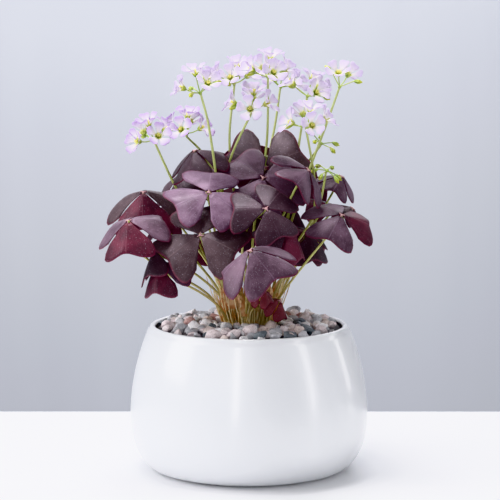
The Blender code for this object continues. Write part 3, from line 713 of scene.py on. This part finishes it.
def soil_material():
    """Dark damp clods with paler crumbs."""
    made, tree, shader = new_material("potting_soil")
    clods = noise_value(tree, 260.0, 6.0, 0.7)
    stops = ((0.3, (0.012, 0.008, 0.006)), (0.55, (0.05, 0.032, 0.02)), (0.8, (0.15, 0.10, 0.06)))
    normal = bumped(tree, clods, 0.002, 0.9)
    feed(tree, shader, Base_Color=ramp(tree, clods, stops), Roughness=0.95, Normal=normal)
    return made


def pebble_material(name, first, second, rough):
    """One kind of stone: two tones in clouds with fine dark specks and pits."""
    made, tree, shader = new_material("pebble_" + name)
    clouds = noise_value(tree, 140.0, 4.0, 0.65)
    specks = noise_value(tree, 1100.0, 2.0, 0.6)
    colour = blended(tree, mask(tree, clouds, 0.35, 0.65), first, second)
    dark = [0.45 * c for c in first]
    colour = blended(tree, mask(tree, specks, 0.55, 0.72, 0.7), colour, dark)
    normal = bumped(tree, specks, 0.0003, 0.5, bumped(tree, clouds, 0.0008, 0.4))
    feed(tree, shader, Base_Color=colour, Roughness=rough, Normal=normal)
    return made


def stalk_material():
    """Living stalks: straw brown at the foot, then yellow green, with fine dark fibres."""
    made, tree, shader = new_material("living_stalk")
    patchy = maths(tree, "SUBTRACT", times(tree, noise_value(tree, 60.0), 0.16), 0.08)
    rise = maths(tree, "ADD", fade(tree, height_of(tree), 0.115, 0.30), patchy)
    stops = (
        (0.0, (0.42, 0.31, 0.12)),
        (0.10, (0.64, 0.53, 0.24)),
        (0.28, (0.52, 0.51, 0.19)),
        (0.60, (0.42, 0.48, 0.16)),
        (1.0, (0.48, 0.56, 0.24)),
    )
    fibre = streaks(tree, (900, 900, 40), 2.0)
    colour = blended(tree, times(tree, fibre, 0.35), ramp(tree, rise, stops), (0.16, 0.10, 0.05))
    feed(tree, shader, Base_Color=colour, Roughness=0.45, Normal=bumped(tree, fibre, 0.00012, 0.6))
    feed(tree, shader, Subsurface_Weight=0.15, Subsurface_Radius=(0.002, 0.002, 0.0008), Subsurface_Scale=1.0)
    return made


def straw_material():
    """Dry stubs: olive at the foot, then straw, with orange brown patches."""
    made, tree, shader = new_material("dry_straw")
    fibre = streaks(tree, (700, 700, 50), 3.0)
    stops = ((0.3, (0.48, 0.28, 0.10)), (0.46, (0.86, 0.68, 0.36)), (0.68, (0.97, 0.90, 0.68)))
    foot = fade(tree, height_of(tree), 0.134, 0.117)
    colour = blended(tree, times(tree, foot, 0.4), ramp(tree, fibre, stops), (0.40, 0.36, 0.13))
    rusty = mask(tree, noise_value(tree, 110.0, 2.0), 0.56, 0.64, 0.8)
    colour = blended(tree, rusty, colour, (0.62, 0.27, 0.09))
    feed(tree, shader, Base_Color=colour, Roughness=0.7, Normal=bumped(tree, fibre, 0.0002, 0.8))
    return made


def paper_material():
    """Old papery scales: tan to rust brown, streaked upwards, and a little see-through to the light."""
    made, tree, shader = new_material("papery_scale")
    fibre = streaks(tree, (500, 500, 60), 3.0)
    tan = blended(tree, fibre, (0.60, 0.32, 0.15), (0.92, 0.70, 0.46))
    rust = blended(tree, fibre, (0.36, 0.11, 0.045), (0.74, 0.32, 0.13))
    colour = blended(tree, mask(tree, noise_value(tree, 90.0, 2.0), 0.42, 0.58), tan, rust)
    normal = bumped(tree, fibre, 0.0003, 0.8)
    feed(tree, shader, Base_Color=colour, Roughness=0.6, Normal=normal)
    let_through(tree, shader, 0.25, Color=colour, Normal=normal)
    return made


def leaf_material(name, dark, light, sheen, rib, rough):
    """A blade's side: two tones in patches, a faint rib, veins that fan out, a crimson edge and specks."""
    made, tree, shader = new_material(name)
    across, along = marks(tree)
    side = maths(tree, "ABSOLUTE", across)
    midrib = fade(tree, side, 0.035, 0.0)
    wander = times(tree, noise_value(tree, 160.0, 2.0), 1.6)
    fan = maths(tree, "ADD", times(tree, across, 6.5), wander)
    vein = times(tree, stripes(tree, fan, 0.12), side)
    patches = mask(tree, noise_value(tree, 55.0, 5.0, 0.65), 0.38, 0.62)
    near_hub = maths(tree, "SUBTRACT", 1.0, times(tree, along, 0.6))
    colour = blended(tree, times(tree, patches, near_hub), dark, light)
    colour = blended(tree, times(tree, vein, 0.20), colour, rib)
    colour = blended(tree, times(tree, midrib, 0.35), colour, rib)
    colour = blended(tree, times(tree, fade(tree, along, 0.94, 1.0), 0.65), colour, LEAF_EDGE)
    specks = mask(tree, noise_value(tree, 1000.0, 1.0), 0.64, 0.74, 0.30)
    colour = blended(tree, specks, colour, LEAF_SPECK)
    ribs = bumped(tree, maths(tree, "ADD", vein, times(tree, midrib, 1.5)), 0.00018, 0.5)
    normal = bumped(tree, noise_value(tree, 900.0, 2.0), 0.00008, 0.4, ribs)
    feed(tree, shader, Base_Color=colour, Roughness=rough, Normal=normal)
    feed(tree, shader, Specular_IOR_Level=0.26, Specular_Tint=(0.95, 0.80, 0.97, 1))
    feed(tree, shader, Sheen_Weight=sheen, Sheen_Roughness=0.5, Sheen_Tint=(0.70, 0.55, 0.80, 1))
    let_through(tree, shader, 0.07, Color=(0.30, 0.01, 0.04, 1), Normal=normal)
    return made


def petal_material(name, rim):
    """A petal: yellow green in the throat, then near white, its own tone at the rim, and darker veins."""
    made, tree, shader = new_material(name)
    across, along = marks(tree)
    stops = (
        (0.0, (0.62, 0.66, 0.10)),
        (0.14, (0.72, 0.74, 0.24)),
        (0.26, (0.90, 0.88, 0.88)),
        (0.60, (0.86, 0.80, 0.92)),
        (1.0, rim),
    )
    uneven = times(tree, maths(tree, "SUBTRACT", noise_value(tree, 70.0, 2.0), 0.5), 0.3)
    colour = ramp(tree, maths(tree, "ADD", along, uneven), stops)
    vein = stripes(tree, times(tree, across, 3.0), 0.10)
    colour = blended(tree, times(tree, vein, 0.22), colour, (0.56, 0.40, 0.70))
    feed(tree, shader, Base_Color=colour, Roughness=0.55, Normal=bumped(tree, vein, 0.0001, 0.4))
    let_through(tree, shader, 0.35, Color=colour)
    return made


def green_material():
    """Pedicels, calyces and the green of the buds: yellow green, with tan here and there."""
    made, tree, shader = new_material("umbel_green")
    tone = noise_value(tree, 120.0, 2.0)
    stops = ((0.3, (0.22, 0.34, 0.06)), (0.55, (0.38, 0.48, 0.12)), (0.8, (0.52, 0.42, 0.22)))
    normal = bumped(tree, tone, 0.0001, 0.4)
    feed(tree, shader, Base_Color=ramp(tree, tone, stops), Roughness=0.5, Normal=normal)
    return made


def grainy_material(name, scale, first, second, rough, relief):
    """Two tones in fine grains, which stand up a little."""
    made, tree, shader = new_material(name)
    tone = noise_value(tree, scale, 2.0)
    colour = blended(tree, tone, first, second)
    feed(tree, shader, Base_Color=colour, Roughness=rough, Normal=bumped(tree, tone, 0.0001, relief))
    return made


def joint_material():
    """The small fleshy joint where three leaflets meet."""
    return grainy_material("leaf_joint", 500.0, (0.30, 0.11, 0.14), (0.54, 0.36, 0.36), 0.5, 0.5)


def anther_material():
    return grainy_material("anther", 900.0, (0.72, 0.66, 0.10), (0.88, 0.84, 0.36), 0.8, 0.6)


def make_finishes():
    """The finishes of leaves and flower heads, by name."""
    finishes = {name: leaf_material("leaf_" + name, *tone) for name, tone in LEAF_TONES.items()}
    finishes["joint"] = joint_material()
    finishes["petal"] = petal_material("pale_petal", (0.76, 0.66, 0.88))
    finishes["deep_petal"] = petal_material("lilac_petal", (0.66, 0.48, 0.82))
    finishes["green"] = green_material()
    finishes["anther"] = anther_material()
    return finishes


def table_material():
    """White table top with faint clouds."""
    made, tree, shader = new_material("white_table")
    colour = blended(tree, noise_value(tree, 6.0, 3.0), (0.84, 0.845, 0.87), (0.89, 0.89, 0.91))
    normal = bumped(tree, noise_value(tree, 300.0), 0.00005, 0.3)
    feed(tree, shader, Base_Color=colour, Roughness=0.35, Normal=normal)
    return made


def wall_material():
    """The pale blue grey wall behind, with painted light: a little lighter in soft upright bands."""
    made, tree, shader = new_material("pale_wall")
    # painted light: soft upright bands of lighter tone across the wall
    colour = blended(tree, streaks(tree, (9, 1, 0.8), 1.0), (0.68, 0.705, 0.785), (0.74, 0.765, 0.845))
    feed(tree, shader, Base_Color=colour, Roughness=0.9)
    return made


# Meshes


class Shape:
    """Points and faces for one piece. Each point carries two marks, and each face a material slot."""

    def __init__(self):
        self.points = []
        self.faces = []
        self.marks = []
        self.slots = []

    def put(self, points, faces, marks=None, slot=0):
        base = len(self.points)
        self.points += points
        self.faces += [tuple(base + i for i in face) for face in faces]
        self.marks += marks or [(0.0, 0.0)] * len(points)
        self.slots += [slot] * len(faces)

    def build(self, name, materials, slot, node):
        """The piece, smooth, riding on the body, with its finishes, in place of a CAD node. The slot is not
        used.
        """
        mesh = bpy.data.meshes.new(name)
        mesh.from_pydata([tuple(p) for p in self.points], [], self.faces)
        layer = mesh.uv_layers.new(name="marks")
        for loop in mesh.loops:
            layer.data[loop.index].uv = self.marks[loop.vertex_index]
        for polygon, number in zip(mesh.polygons, self.slots):
            polygon.material_index = number
            polygon.use_smooth = True
        mesh.update()
        piece = bpy.data.objects.new(name, mesh)
        bpy.context.scene.collection.objects.link(piece)
        for finish in materials:
            mesh.materials.append(finish)
        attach(piece, "root")
        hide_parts(node)
        return piece


def thicken(piece, thickness, slots_on=0):
    """Gives a sheet its thickness. Its lower side and rim take the material slots_on further on."""
    solid = piece.modifiers.new("thickness", "SOLIDIFY")
    solid.thickness = thickness
    solid.offset = 0
    solid.material_offset = slots_on
    solid.material_offset_rim = slots_on


def grid_faces(columns, rows):
    """Quads over a grid whose rows each hold columns + 1 points."""
    starts = [r * (columns + 1) + c for r in range(rows) for c in range(columns)]
    return [(i, i + columns + 1, i + columns + 2, i + 1) for i in starts]


def ring_faces(rings, sides):
    """Quads between neighbouring rings of points."""
    faces = []
    for low in range(0, (rings - 1) * sides, sides):
        for k in range(sides):
            after = (k + 1) % sides
            faces.append((low + k, low + after, low + sides + after, low + sides + k))
    return faces


def put_sheet(shape, columns, rows, spot, slot=0):
    """Puts an open grid into a shape. spot gives a point from across, -1 to 1, and along, 0 to 1."""
    values = [(2 * c / columns - 1, r / rows) for r in range(rows + 1) for c in range(columns + 1)]
    shape.put([spot(across, along) for across, along in values], grid_faces(columns, rows), values, slot)


def turned(profile, sides, wobble=None):
    """A body of revolution from (radius, height) points, each point moved by wobble."""
    points = [ring_spot(r, math.tau * k / sides, z) for r, z in profile for k in range(sides)]
    shape = Shape()
    shape.put([wobble(p) for p in points] if wobble else points, ring_faces(len(profile), sides))
    return shape


def smooth_line(points, steps):
    """A smooth curve through the points of a line."""
    found = []
    for i in range(len(points) - 1):
        before = points[max(i - 1, 0)]
        a, b = points[i], points[i + 1]
        after = points[min(i + 2, len(points) - 1)]
        ends = (a, a + (b - before) / 6, b - (after - a) / 6, b)
        found += [bezier(ends, s / steps) for s in range(steps)]
    return found + [points[-1]]


def put_tube(shape, line, radii, sides=STALK_SIDES):
    """Puts a round tube along a line into a shape, with closed ends."""
    points = []
    tangent = (line[1] - line[0]).normalized()
    side = tangent.orthogonal().normalized()
    for i, (spot, radius) in enumerate(zip(line, radii)):
        ahead = line[min(i + 1, len(line) - 1)] - line[max(i - 1, 0)]
        tangent = ahead.normalized()
        side = (side - tangent * side.dot(tangent)).normalized()
        other = tangent.cross(side)
        for k in range(sides):
            turn = math.tau * k / sides
            points.append(spot + (side * math.cos(turn) + other * math.sin(turn)) * radius)
    foot = tuple(reversed(range(sides)))
    tip = tuple(len(points) - sides + k for k in range(sides))
    shape.put(points, ring_faces(len(line), sides) + [foot, tip])


def put_thin_tube(shape, line, radii, sides):
    """A tube whose radii are in millimetres."""
    put_tube(shape, line, [r * MM for r in radii], sides)


def ball(subdivisions=3):
    """The points and faces of a round ball of radius 1."""
    made = bmesh.new()
    bmesh.ops.create_icosphere(made, subdivisions=subdivisions, radius=1)
    made.verts.index_update()
    points = [v.co.copy() for v in made.verts]
    faces = [tuple(v.index for v in f.verts) for f in made.faces]
    made.free()
    return points, faces


# The pot and its fill


def arc(centre, radius, start, end, steps):
    """Points on an arc in the profile's plane, angles in degrees from the outward side."""
    turns = [math.radians(angle) for angle in spaced(start, end, steps)]
    return [(centre[0] + radius * math.cos(turn), centre[1] + radius * math.sin(turn)) for turn in turns]


def dress_pot(glaze):
    """The bowl with a soft round lip and a small round edge at the foot."""
    lip = WALL / 2
    axis = 0.5 * MM
    bowed_from = 24 * MM
    top = POT_HEIGHT - lip
    profile = [(axis, FLOOR), (inner_radius(30 * MM) - 14 * MM, FLOOR)]
    profile += [(inner_radius(height), height) for height in spaced(bowed_from, top, 23)]
    profile += arc((RIM_RADIUS - lip, top), lip, 180, 0, 12)
    profile += [(outer_radius(height), height) for height in spaced(top, BELLY_HEIGHT, 39)[1:]]
    heights = [BELLY_HEIGHT * (1 - math.sin(math.radians(angle))) for angle in spaced(0, 90, 30)[1:-1]]
    profile += [(outer_radius(height), height) for height in heights if height >= FOOT_EDGE]
    profile += arc((FOOT_RADIUS - 0.4 * MM, FOOT_EDGE), FOOT_EDGE, -10, -90, 6)
    profile.append((axis, 0))
    turned(profile, POT_SIDES).build("bowl", [glaze], "glaze", "pot")


def dress_soil(finish):
    """The soil: the solid's outline with a lumpy top."""
    shoulder = FLOOR + 14 * MM
    wall = inner_radius(SOIL_TOP) - SOIL_CLEAR
    sunk = 0.8 * MM
    wide = inner_radius(shoulder)
    profile = [(wide - 16 * MM, FLOOR + GAP), (wide - SOIL_CLEAR, shoulder), (wall, SOIL_TOP - 1 * MM)]
    for share in spaced(1, 0, 40)[:-1]:
        mound = min(max((MOUND_RADIUS + 1 * MM - wall * share) / (4 * MM), 0), 1)
        profile.append((wall * share, SOIL_TOP + (MOUND_TOP - SOIL_TOP) * mound - sunk))
    profile.append((0.2 * MM, MOUND_TOP - sunk))

    def lumpy(spot):
        if spot.z < SOIL_TOP - 2 * MM:
            return spot
        return spot + Vector((0, 0, noise.noise(spot * 300) * 1.6 * MM))

    turned(profile, FILL_SIDES, lumpy).build("soil_fill", [finish], "soil", "soil")


def put_pebble(shape, random, spot, size):
    """One worn chip of stone: a ball with flattened sides, squashed, with broad dents and soft edges."""
    points, faces = ball()
    scale = Vector([random.uniform(*span) for span in PEBBLE_SPANS]) * size
    heading = Matrix.Rotation(random.uniform(0, math.tau), 3, "Z")
    turn = heading @ Matrix.Rotation(random.uniform(-0.8, 0.8), 3, "X")
    seed = Vector([random.uniform(0, 50) for _ in range(3)])
    cuts = []
    for _ in range(PEBBLE_CUTS):
        way = Vector([random.gauss(0, 1) for _ in range(3)]).normalized()
        cuts.append((way, random.uniform(0.56, 0.8)))
    moved = []
    for p in points:
        q = p * (1.08 + 0.22 * noise.noise(p * 1.1 + seed))
        for way, reach in cuts:
            q -= way * max(q.dot(way) - reach, 0) * 0.96
        q *= 1 + 0.05 * noise.noise(p * 4 + seed)
        moved.append(spot + turn @ (q * scale))
    shape.put(moved, faces)


def dress_gravel():
    """The bed of mixed stones: a large one at each of the solid's, and smaller ones filling in."""
    random = Random(5)
    stones = [(spot - Vector((0, 0, 1.2 * MM)), size * 0.98) for spot, size in pebble_places()]
    for k in range(FILLER_PEBBLES):
        radius = spiral_radius(k, FILLER_PEBBLES, MOUND_RADIUS - 2 * MM, RIM_RADIUS - WALL - 4 * MM)
        height = gravel_height(radius) - random.uniform(0.5, 3.5) * MM
        spot = ring_spot(radius, k * GOLDEN_TURN + 1.9, height)
        stones.append((spot, random.uniform(3.2, 5.2) * MM))
    shapes = [Shape() for _ in PEBBLE_KINDS]
    weights = [kind[-1] for kind in PEBBLE_KINDS]
    for spot, size in stones:
        put_pebble(random.choices(shapes, weights)[0], random, spot, size)
    for shape, (name, first, second, rough, _) in zip(shapes, PEBBLE_KINDS):
        shape.build("pebbles_" + name, [pebble_material(name, first, second, rough)], "gravel", "gravel")


def dress_painted_shade_bed():
    """A dark sheet of painted shade under and between the stones, with a rough top."""
    wall = inner_radius(POT_HEIGHT) - BED_CLEAR
    middle = (MOUND_RADIUS + wall) / 2
    profile = [(wall, SOIL_TOP + 1 * MM)]
    profile += [(radius, gravel_height(radius) - 3.5 * MM) for radius in (wall, middle)]
    profile.append((MOUND_RADIUS - 2 * MM, GRAVEL_TOP - 3 * MM))

    def rough_bed(spot):
        return spot + Vector((0, 0, noise.noise(spot * 250) * 1.2 * MM))

    # painted shade: near black tones that darken the gaps between the stones
    finish = pebble_material("bed", (0.06, 0.055, 0.06), (0.15, 0.14, 0.15), 0.8)
    turned(profile, FILL_SIDES, rough_bed).build("gravel_bed", [finish], "gravel", "gravel")


# Leaves


def leaf_tone(name):
    if name.startswith("young"):
        return "young"
    return next((tone for tone, names in TONES.items() if name in names), "dark")


def fine_leaflet(leaf, turn, angle, ring):
    """A leaflet's point, out to a rippled edge, with a soft fold and swelling lobes, in the leaf's axes."""
    point = leaflet_point(leaf, turn, angle, ring)
    aside = abs(leaflet_distance(leaf, angle, ring) * math.sin(math.radians(angle)))
    softness = SOFT_FOLD * ring
    soft = (aside + softness / 2 - math.hypot(aside, softness)) * math.sin(math.radians(leaf.fold))
    lobe = math.sin(math.pi * min(abs(angle) / HALF_ANGLE, 1) ** 0.8) * ring**1.5
    ripple = math.sin(math.radians(angle) * 7 + leaf.x + turn * 3) * ring**3
    wave = noise.noise(Vector((point.x, point.y, leaf.x * MM + turn)) * 55) * ring**1.5
    lift = Vector((0, 0, soft + (0.9 * lobe + 0.45 * ripple + 1.3 * wave - 0.9 * ring**6) * MM))
    drooped = Matrix.Rotation(math.radians(leaf.droop), 3, "Y") @ lift
    return point + Matrix.Rotation(turn, 3, "Z") @ drooped


def dress_blade(leaf, place, finishes, slot):
    """Three leaflets with their upper and lower finish. A turned one starts a material further on."""
    shape = Shape()
    for k in range(3):
        turn = math.radians(leaf.spin + 120 * k)

        def spot(across, along):
            return place @ fine_leaflet(leaf, turn, across * HALF_ANGLE, along)

        put_sheet(shape, BLADE_COLUMNS, BLADE_RINGS, spot, int(TURNED_OVER.get(leaf.name) == k))
    upper, under = finishes[leaf_tone(leaf.name)], finishes["under"]
    blade = shape.build("blade_" + leaf.name, [upper, under, upper], slot, "leaf_" + leaf.name)
    thicken(blade, BLADE_SHOWN, 1)


def dress_joint(leaf, place, finishes, slot):
    """The small fleshy joint where three leaflets meet, with a short arm under each."""
    joint = Shape()
    points, faces = ball(2)
    size = Vector((1.2, 1.2, 0.8)) * MM
    joint.put([place @ (p * size + Vector((0, 0, 0.2 * MM))) for p in points], faces)
    for k in range(3):
        reach = around(math.radians(leaf.spin + 120 * k)) * HUB_RADIUS * 1.15
        line = [place @ (reach * s + Vector((0, 0, 0.25 * MM))) for s in (0, 0.5, 1)]
        put_thin_tube(joint, line, (0.6, 0.5, 0.4), 6)
    joint.build("joint_" + leaf.name, [finishes["joint"]], slot, "leaf_" + leaf.name)


def dress_leaf(leaf, hub, finishes):
    place = leaf_axes(leaf, hub)
    slot = "young_leaf" if leaf_tone(leaf.name) == "young" else "leaf"
    dress_blade(leaf, place, finishes, slot)
    dress_joint(leaf, place, finishes, slot)


# Stalks


def put_sheath(shape, random, place):
    """A papery brown scale, curled round the crown among the stubs, on the second material."""
    out = around(math.atan2(place.y, place.x) + random.uniform(-1.4, 1.4))
    aside = Vector((-out.y, out.x, 0))
    foot = Vector((place.x, place.y, random.uniform(120, 142) * MM)) + out * random.uniform(7, 10) * MM
    wide, tall = random.uniform(2.4, 4.6) * MM, random.uniform(8, 15) * MM
    rise = Vector((0, 0, 1)) + aside * random.uniform(-0.3, 0.3)
    ragged = [1 + 0.2 * random.uniform(-1, 1) for _ in range(SHEATH_ROWS + 1)]

    def spot(across, along):
        half = wide * math.sin(math.pi * (0.22 + 0.74 * along)) * ragged[round(along * SHEATH_ROWS)]
        curl = out * (along**2 * 3.5 * MM - across**2 * 1.6 * MM)
        return foot + aside * across * half + curl + rise * tall * along

    put_sheet(shape, SHEATH_COLUMNS, SHEATH_ROWS, spot, 1)


def put_straw(shape, random, place, n):
    """One thin dry straw of a crown, bowed a little and leaning outwards."""
    out = around(n * GOLDEN_TURN)
    ring = NECK_RADIUS * 1.25 * math.sqrt((n + 0.5) / STRAWS)
    start = Vector((place.x, place.y, NECK_TOP - 3 * MM)) + out * ring
    height = random.choice(STRAW_HEIGHTS) * random.uniform(0.85, 1.1) * MM
    crown_lean = Vector((place.x, place.y, 0)) / NECK_RING * 0.24
    end = start + Vector((0, 0, height)) + (out * random.uniform(0, 0.25) + crown_lean) * height
    bow = Vector((random.uniform(-1, 1), random.uniform(-1, 1), 0)) * 1.6 * MM
    line = smooth_line([start, start.lerp(end, 0.5) + bow, end], 4)
    thick = random.uniform(0.55, 0.95) * MM
    put_tube(shape, line, [thick * share for share in spaced(1.1, 0.25, len(line) - 1)], 6)


def dress_tuft(k, lines, finish, straw, paper):
    """One rootstock's green stalks, its dry stubs and the straws and scales between them."""
    random = Random(200 + k)
    stalks = Shape()
    for line, radius in lines:
        curve = smooth_line(line, STALK_SMOOTH)
        put_tube(stalks, curve, [radius * share for share in spaced(1.25, 0.85, len(curve) - 1)])
    stalks.build(f"stalks_{k}", [finish], "stalk", f"tuft_{k}")
    dry = Shape()
    place = neck_places()[k]
    neck = [Vector((place.x, place.y, z * MM)) for z in (86, 100, 112, 118, 121)]
    put_thin_tube(dry, neck, (4.2, 5.0, 5.4, 5.2, 2.0), 14)
    for foot, tip in stub_paths(k):
        put_thin_tube(dry, [foot.lerp(tip, s / 4) for s in range(5)], (1.5, 1.2, 1.0, 0.9, 0.5), 7)
    for n in range(STRAWS):
        put_straw(dry, random, place, n)
    for _ in range(SHEATHS):
        put_sheath(dry, random, place)
    dry.build(f"straw_{k}", [straw, paper], "stalk", f"tuft_{k}")


# Flowers


def petal_point(across, along, opened):
    """A petal's point before it is turned into place: a narrow claw, a rounded blade and a soft rim."""
    radius = THROAT_RADIUS + (PETAL_REACH * opened - THROAT_RADIUS) * along**1.15
    height = PETAL_RISE * along**0.8 - PETAL_CURL * (opened - 0.8) * along**4
    claw = THROAT_RADIUS * math.tan(math.pi / PETALS) * 1.05
    wide = claw + (PETAL_HALF_WIDTH - claw) * min(along / 0.78, 1) ** 1.9
    tip = math.sqrt(max(0, 1 - max(0, (along - 0.7) / 0.36) ** 2))
    aside = across * wide * (0.3 + 0.7 * tip if along > 0.7 else 1)
    cup = 0.7 * MM * across**2 * along
    notch = 0.6 * MM * max(0, 1 - 3 * abs(across)) * along**4
    radius -= (1 - math.sqrt(max(0, 1 - 0.6 * across**2))) * 2.2 * MM * along**2 + notch
    return Vector((radius, aside, height + cup))


def put_petal(petals, spin, opened, twist):
    """One petal, opened more or less and twisted to one side."""
    def spot(across, along):
        point = petal_point(across, along, opened)
        point.z += point.y * math.tan(twist) * along
        return spin @ point

    put_sheet(petals, PETAL_COLUMNS, PETAL_ROWS, spot)


def put_flower(petals, greens, anthers, place, random):
    """One open flower: five petals, a calyx of five narrow sepals and five anthers in the throat."""
    sepal = ((0.7, 0, -1.0), (1.7, 0, 0.6), (2.7, 0, 2.2))
    stamen = ((0.5, 0, 0.8), (1.0, 0, 4.4))
    for k in range(PETALS):
        spin = place @ Matrix.Rotation(math.tau * k / PETALS, 4, "Z")
        put_petal(petals, spin, random.uniform(0.86, 1.06), random.uniform(-0.35, 0.35))
        between = place @ Matrix.Rotation(math.tau * (k + 0.5) / PETALS, 4, "Z")
        put_thin_tube(greens, [between @ (Vector(p) * MM) for p in sepal], (0.7, 0.55, 0.15), 5)
        put_thin_tube(anthers, [spin @ (Vector(p) * MM) for p in stamen], (0.2, 0.42), 5)


def put_bud(petals, greens, path):
    """A nodding bud: a lilac tip in a green calyx, on its pedicel."""
    hub, end, middle, tip = path
    put_tube(greens, smooth_line([hub, end, middle], 4), [PEDICEL_RADIUS * 0.8] * 8 + [1.2 * MM], 6)
    line = [end.lerp(middle, 0.5), middle, middle.lerp(tip, 0.5), tip]
    put_thin_tube(petals, line, (0.9, 1.45, 1.25, 0.3), 8)
    nod = (tip - middle).normalized()
    side = nod.orthogonal().normalized()
    for k in range(PETALS):
        out = Matrix.Rotation(math.tau * k / PETALS, 3, nod) @ side
        sepal = [end + out * 0.5 * MM, middle + out * 1.35 * MM, middle.lerp(tip, 0.55) + out * 1.5 * MM]
        put_thin_tube(greens, sepal, (0.6, 0.6, 0.12), 5)


def dress_umbel(umbel, hub, finishes):
    """One head: its pedicels and calyces, its petals and its anthers."""
    petals, greens, anthers = Shape(), Shape(), Shape()
    random = Random(umbel.name + "_petals")
    points, faces = ball(2)
    greens.put([hub + p * UMBEL_HUB for p in points], faces)
    for k, (way, length, flower) in enumerate(umbel_stems(umbel)):
        if not flower:
            put_bud(petals, greens, bud_path(hub, way, length))
            continue
        end = hub + way * length
        sag = Vector((0, 0, -0.8 * MM))
        line = smooth_line([hub, hub.lerp(end, 0.5) + sag, end], 4)
        put_tube(greens, line, [PEDICEL_RADIUS * 0.85] * (len(line) - 1) + [0.9 * MM], 6)
        put_flower(petals, greens, anthers, flower_place(umbel, hub, k, way, length), random)
    node = "umbel_" + umbel.name
    finish = "deep_petal" if umbel.name.startswith("left") else "petal"
    piece = petals.build("petals_" + umbel.name, [finishes[finish]], "petal", node)
    if umbel.flowers:
        thicken(piece, PETAL_SHOWN)
        anthers.build("anthers_" + umbel.name, [finishes["anther"]], "petal", node)
    greens.build("greens_" + umbel.name, [finishes["green"]], "petal", node)


# The room


def plain_stage(name, points, finish):
    """A flat face of the room, which isn't part of the object."""
    mesh = bpy.data.meshes.new(name)
    mesh.from_pydata(points, [], [(0, 1, 2, 3)])
    stage = bpy.data.objects.new(name, mesh)
    bpy.context.scene.collection.objects.link(stage)
    mesh.materials.append(finish)


def add_light(name, power, place, target, width, height):
    """A soft rectangle of light at a place, turned towards a target."""
    light = bpy.data.lights.new(name, "AREA")
    light.energy = power
    light.color = LIGHT_COLOUR
    light.shape = "RECTANGLE"
    light.size = width
    light.size_y = height
    lamp = bpy.data.objects.new(name, light)
    lamp.location = place
    lamp.rotation_euler = (Vector(target) - Vector(place)).to_track_quat("-Z", "Y").to_euler()
    bpy.context.scene.collection.objects.link(lamp)


def corners(half, low, high):
    """The corners of a rectangle with its middle at 0 across."""
    return (-half, low), (half, low), (half, high), (-half, high)


def make_room():
    """A white table in front of a pale wall, the sky's light and the lamps."""
    table = corners(TABLE_HALF, -TABLE_HALF, TABLE_EDGE)
    plain_stage("table", [(x, y, 0) for x, y in table], table_material())
    wall = corners(WALL_HALF, *WALL_HEIGHTS)
    plain_stage("wall", [(x, WALL_PLACE, z) for x, z in wall], wall_material())
    world = bpy.data.worlds.new("room")
    bpy.context.scene.world = world
    world.use_nodes = True
    sky = world.node_tree.nodes["Background"]
    sky.inputs[0].default_value = SKY_COLOUR
    sky.inputs[1].default_value = SKY
    for light in LIGHTS:
        add_light(*light)


def add_camera():
    data = bpy.data.cameras.new("camera")
    data.lens = LENS
    camera = bpy.data.objects.new("camera", data)
    camera.location = CAMERA_PLACE
    camera.rotation_euler = (math.radians(90 - CAMERA_PITCH), 0, 0)
    bpy.context.scene.collection.objects.link(camera)
    bpy.context.scene.camera = camera


def dress_plant():
    """Dresses leaves and heads where their solids are, then the stalks by the rule of the solids."""
    finishes = make_finishes()
    surfaces = Surfaces()
    leaf_hubs = []
    for leaf in LEAVES:
        hub = Vector((leaf.x, leaf.y, leaf.z)) * MM
        leaf_hubs.append(surfaces.place("leaf_" + leaf.name, hub, *leaf_surface(leaf, hub)))
        dress_leaf(leaf, leaf_hubs[-1], finishes)
    umbel_hubs = []
    for umbel in UMBELS:
        hub = Vector((umbel.x, umbel.y, umbel.z)) * MM
        umbel_hubs.append(surfaces.place("umbel_" + umbel.name, hub, *umbel_outline(umbel, hub)))
        dress_umbel(umbel, umbel_hubs[-1], finishes)
    tree = BVHTree.FromPolygons(surfaces.points, surfaces.faces)
    necks = range(len(neck_places()))
    lines = [[] for _ in necks]
    taken = [(k, point) for k in necks for stub in stub_paths(k) for point in close_points(stub)]
    for stalk in wanted_stalks(leaf_hubs, umbel_hubs):
        k, line = route(stalk, [len(found) for found in lines], tree, taken)
        taken += [(k, point) for point in close_points(line)]
        lines[k].append((line, stalk.radius))
    finish, straw, paper = stalk_material(), straw_material(), paper_material()
    for k in necks:
        dress_tuft(k, lines[k], finish, straw, paper)


add_camera()
make_room()
bpy.context.scene.view_settings.view_transform = "Khronos PBR Neutral"
dress_pot(glaze_material())
dress_soil(soil_material())
dress_gravel()
dress_painted_shade_bed()
dress_plant()
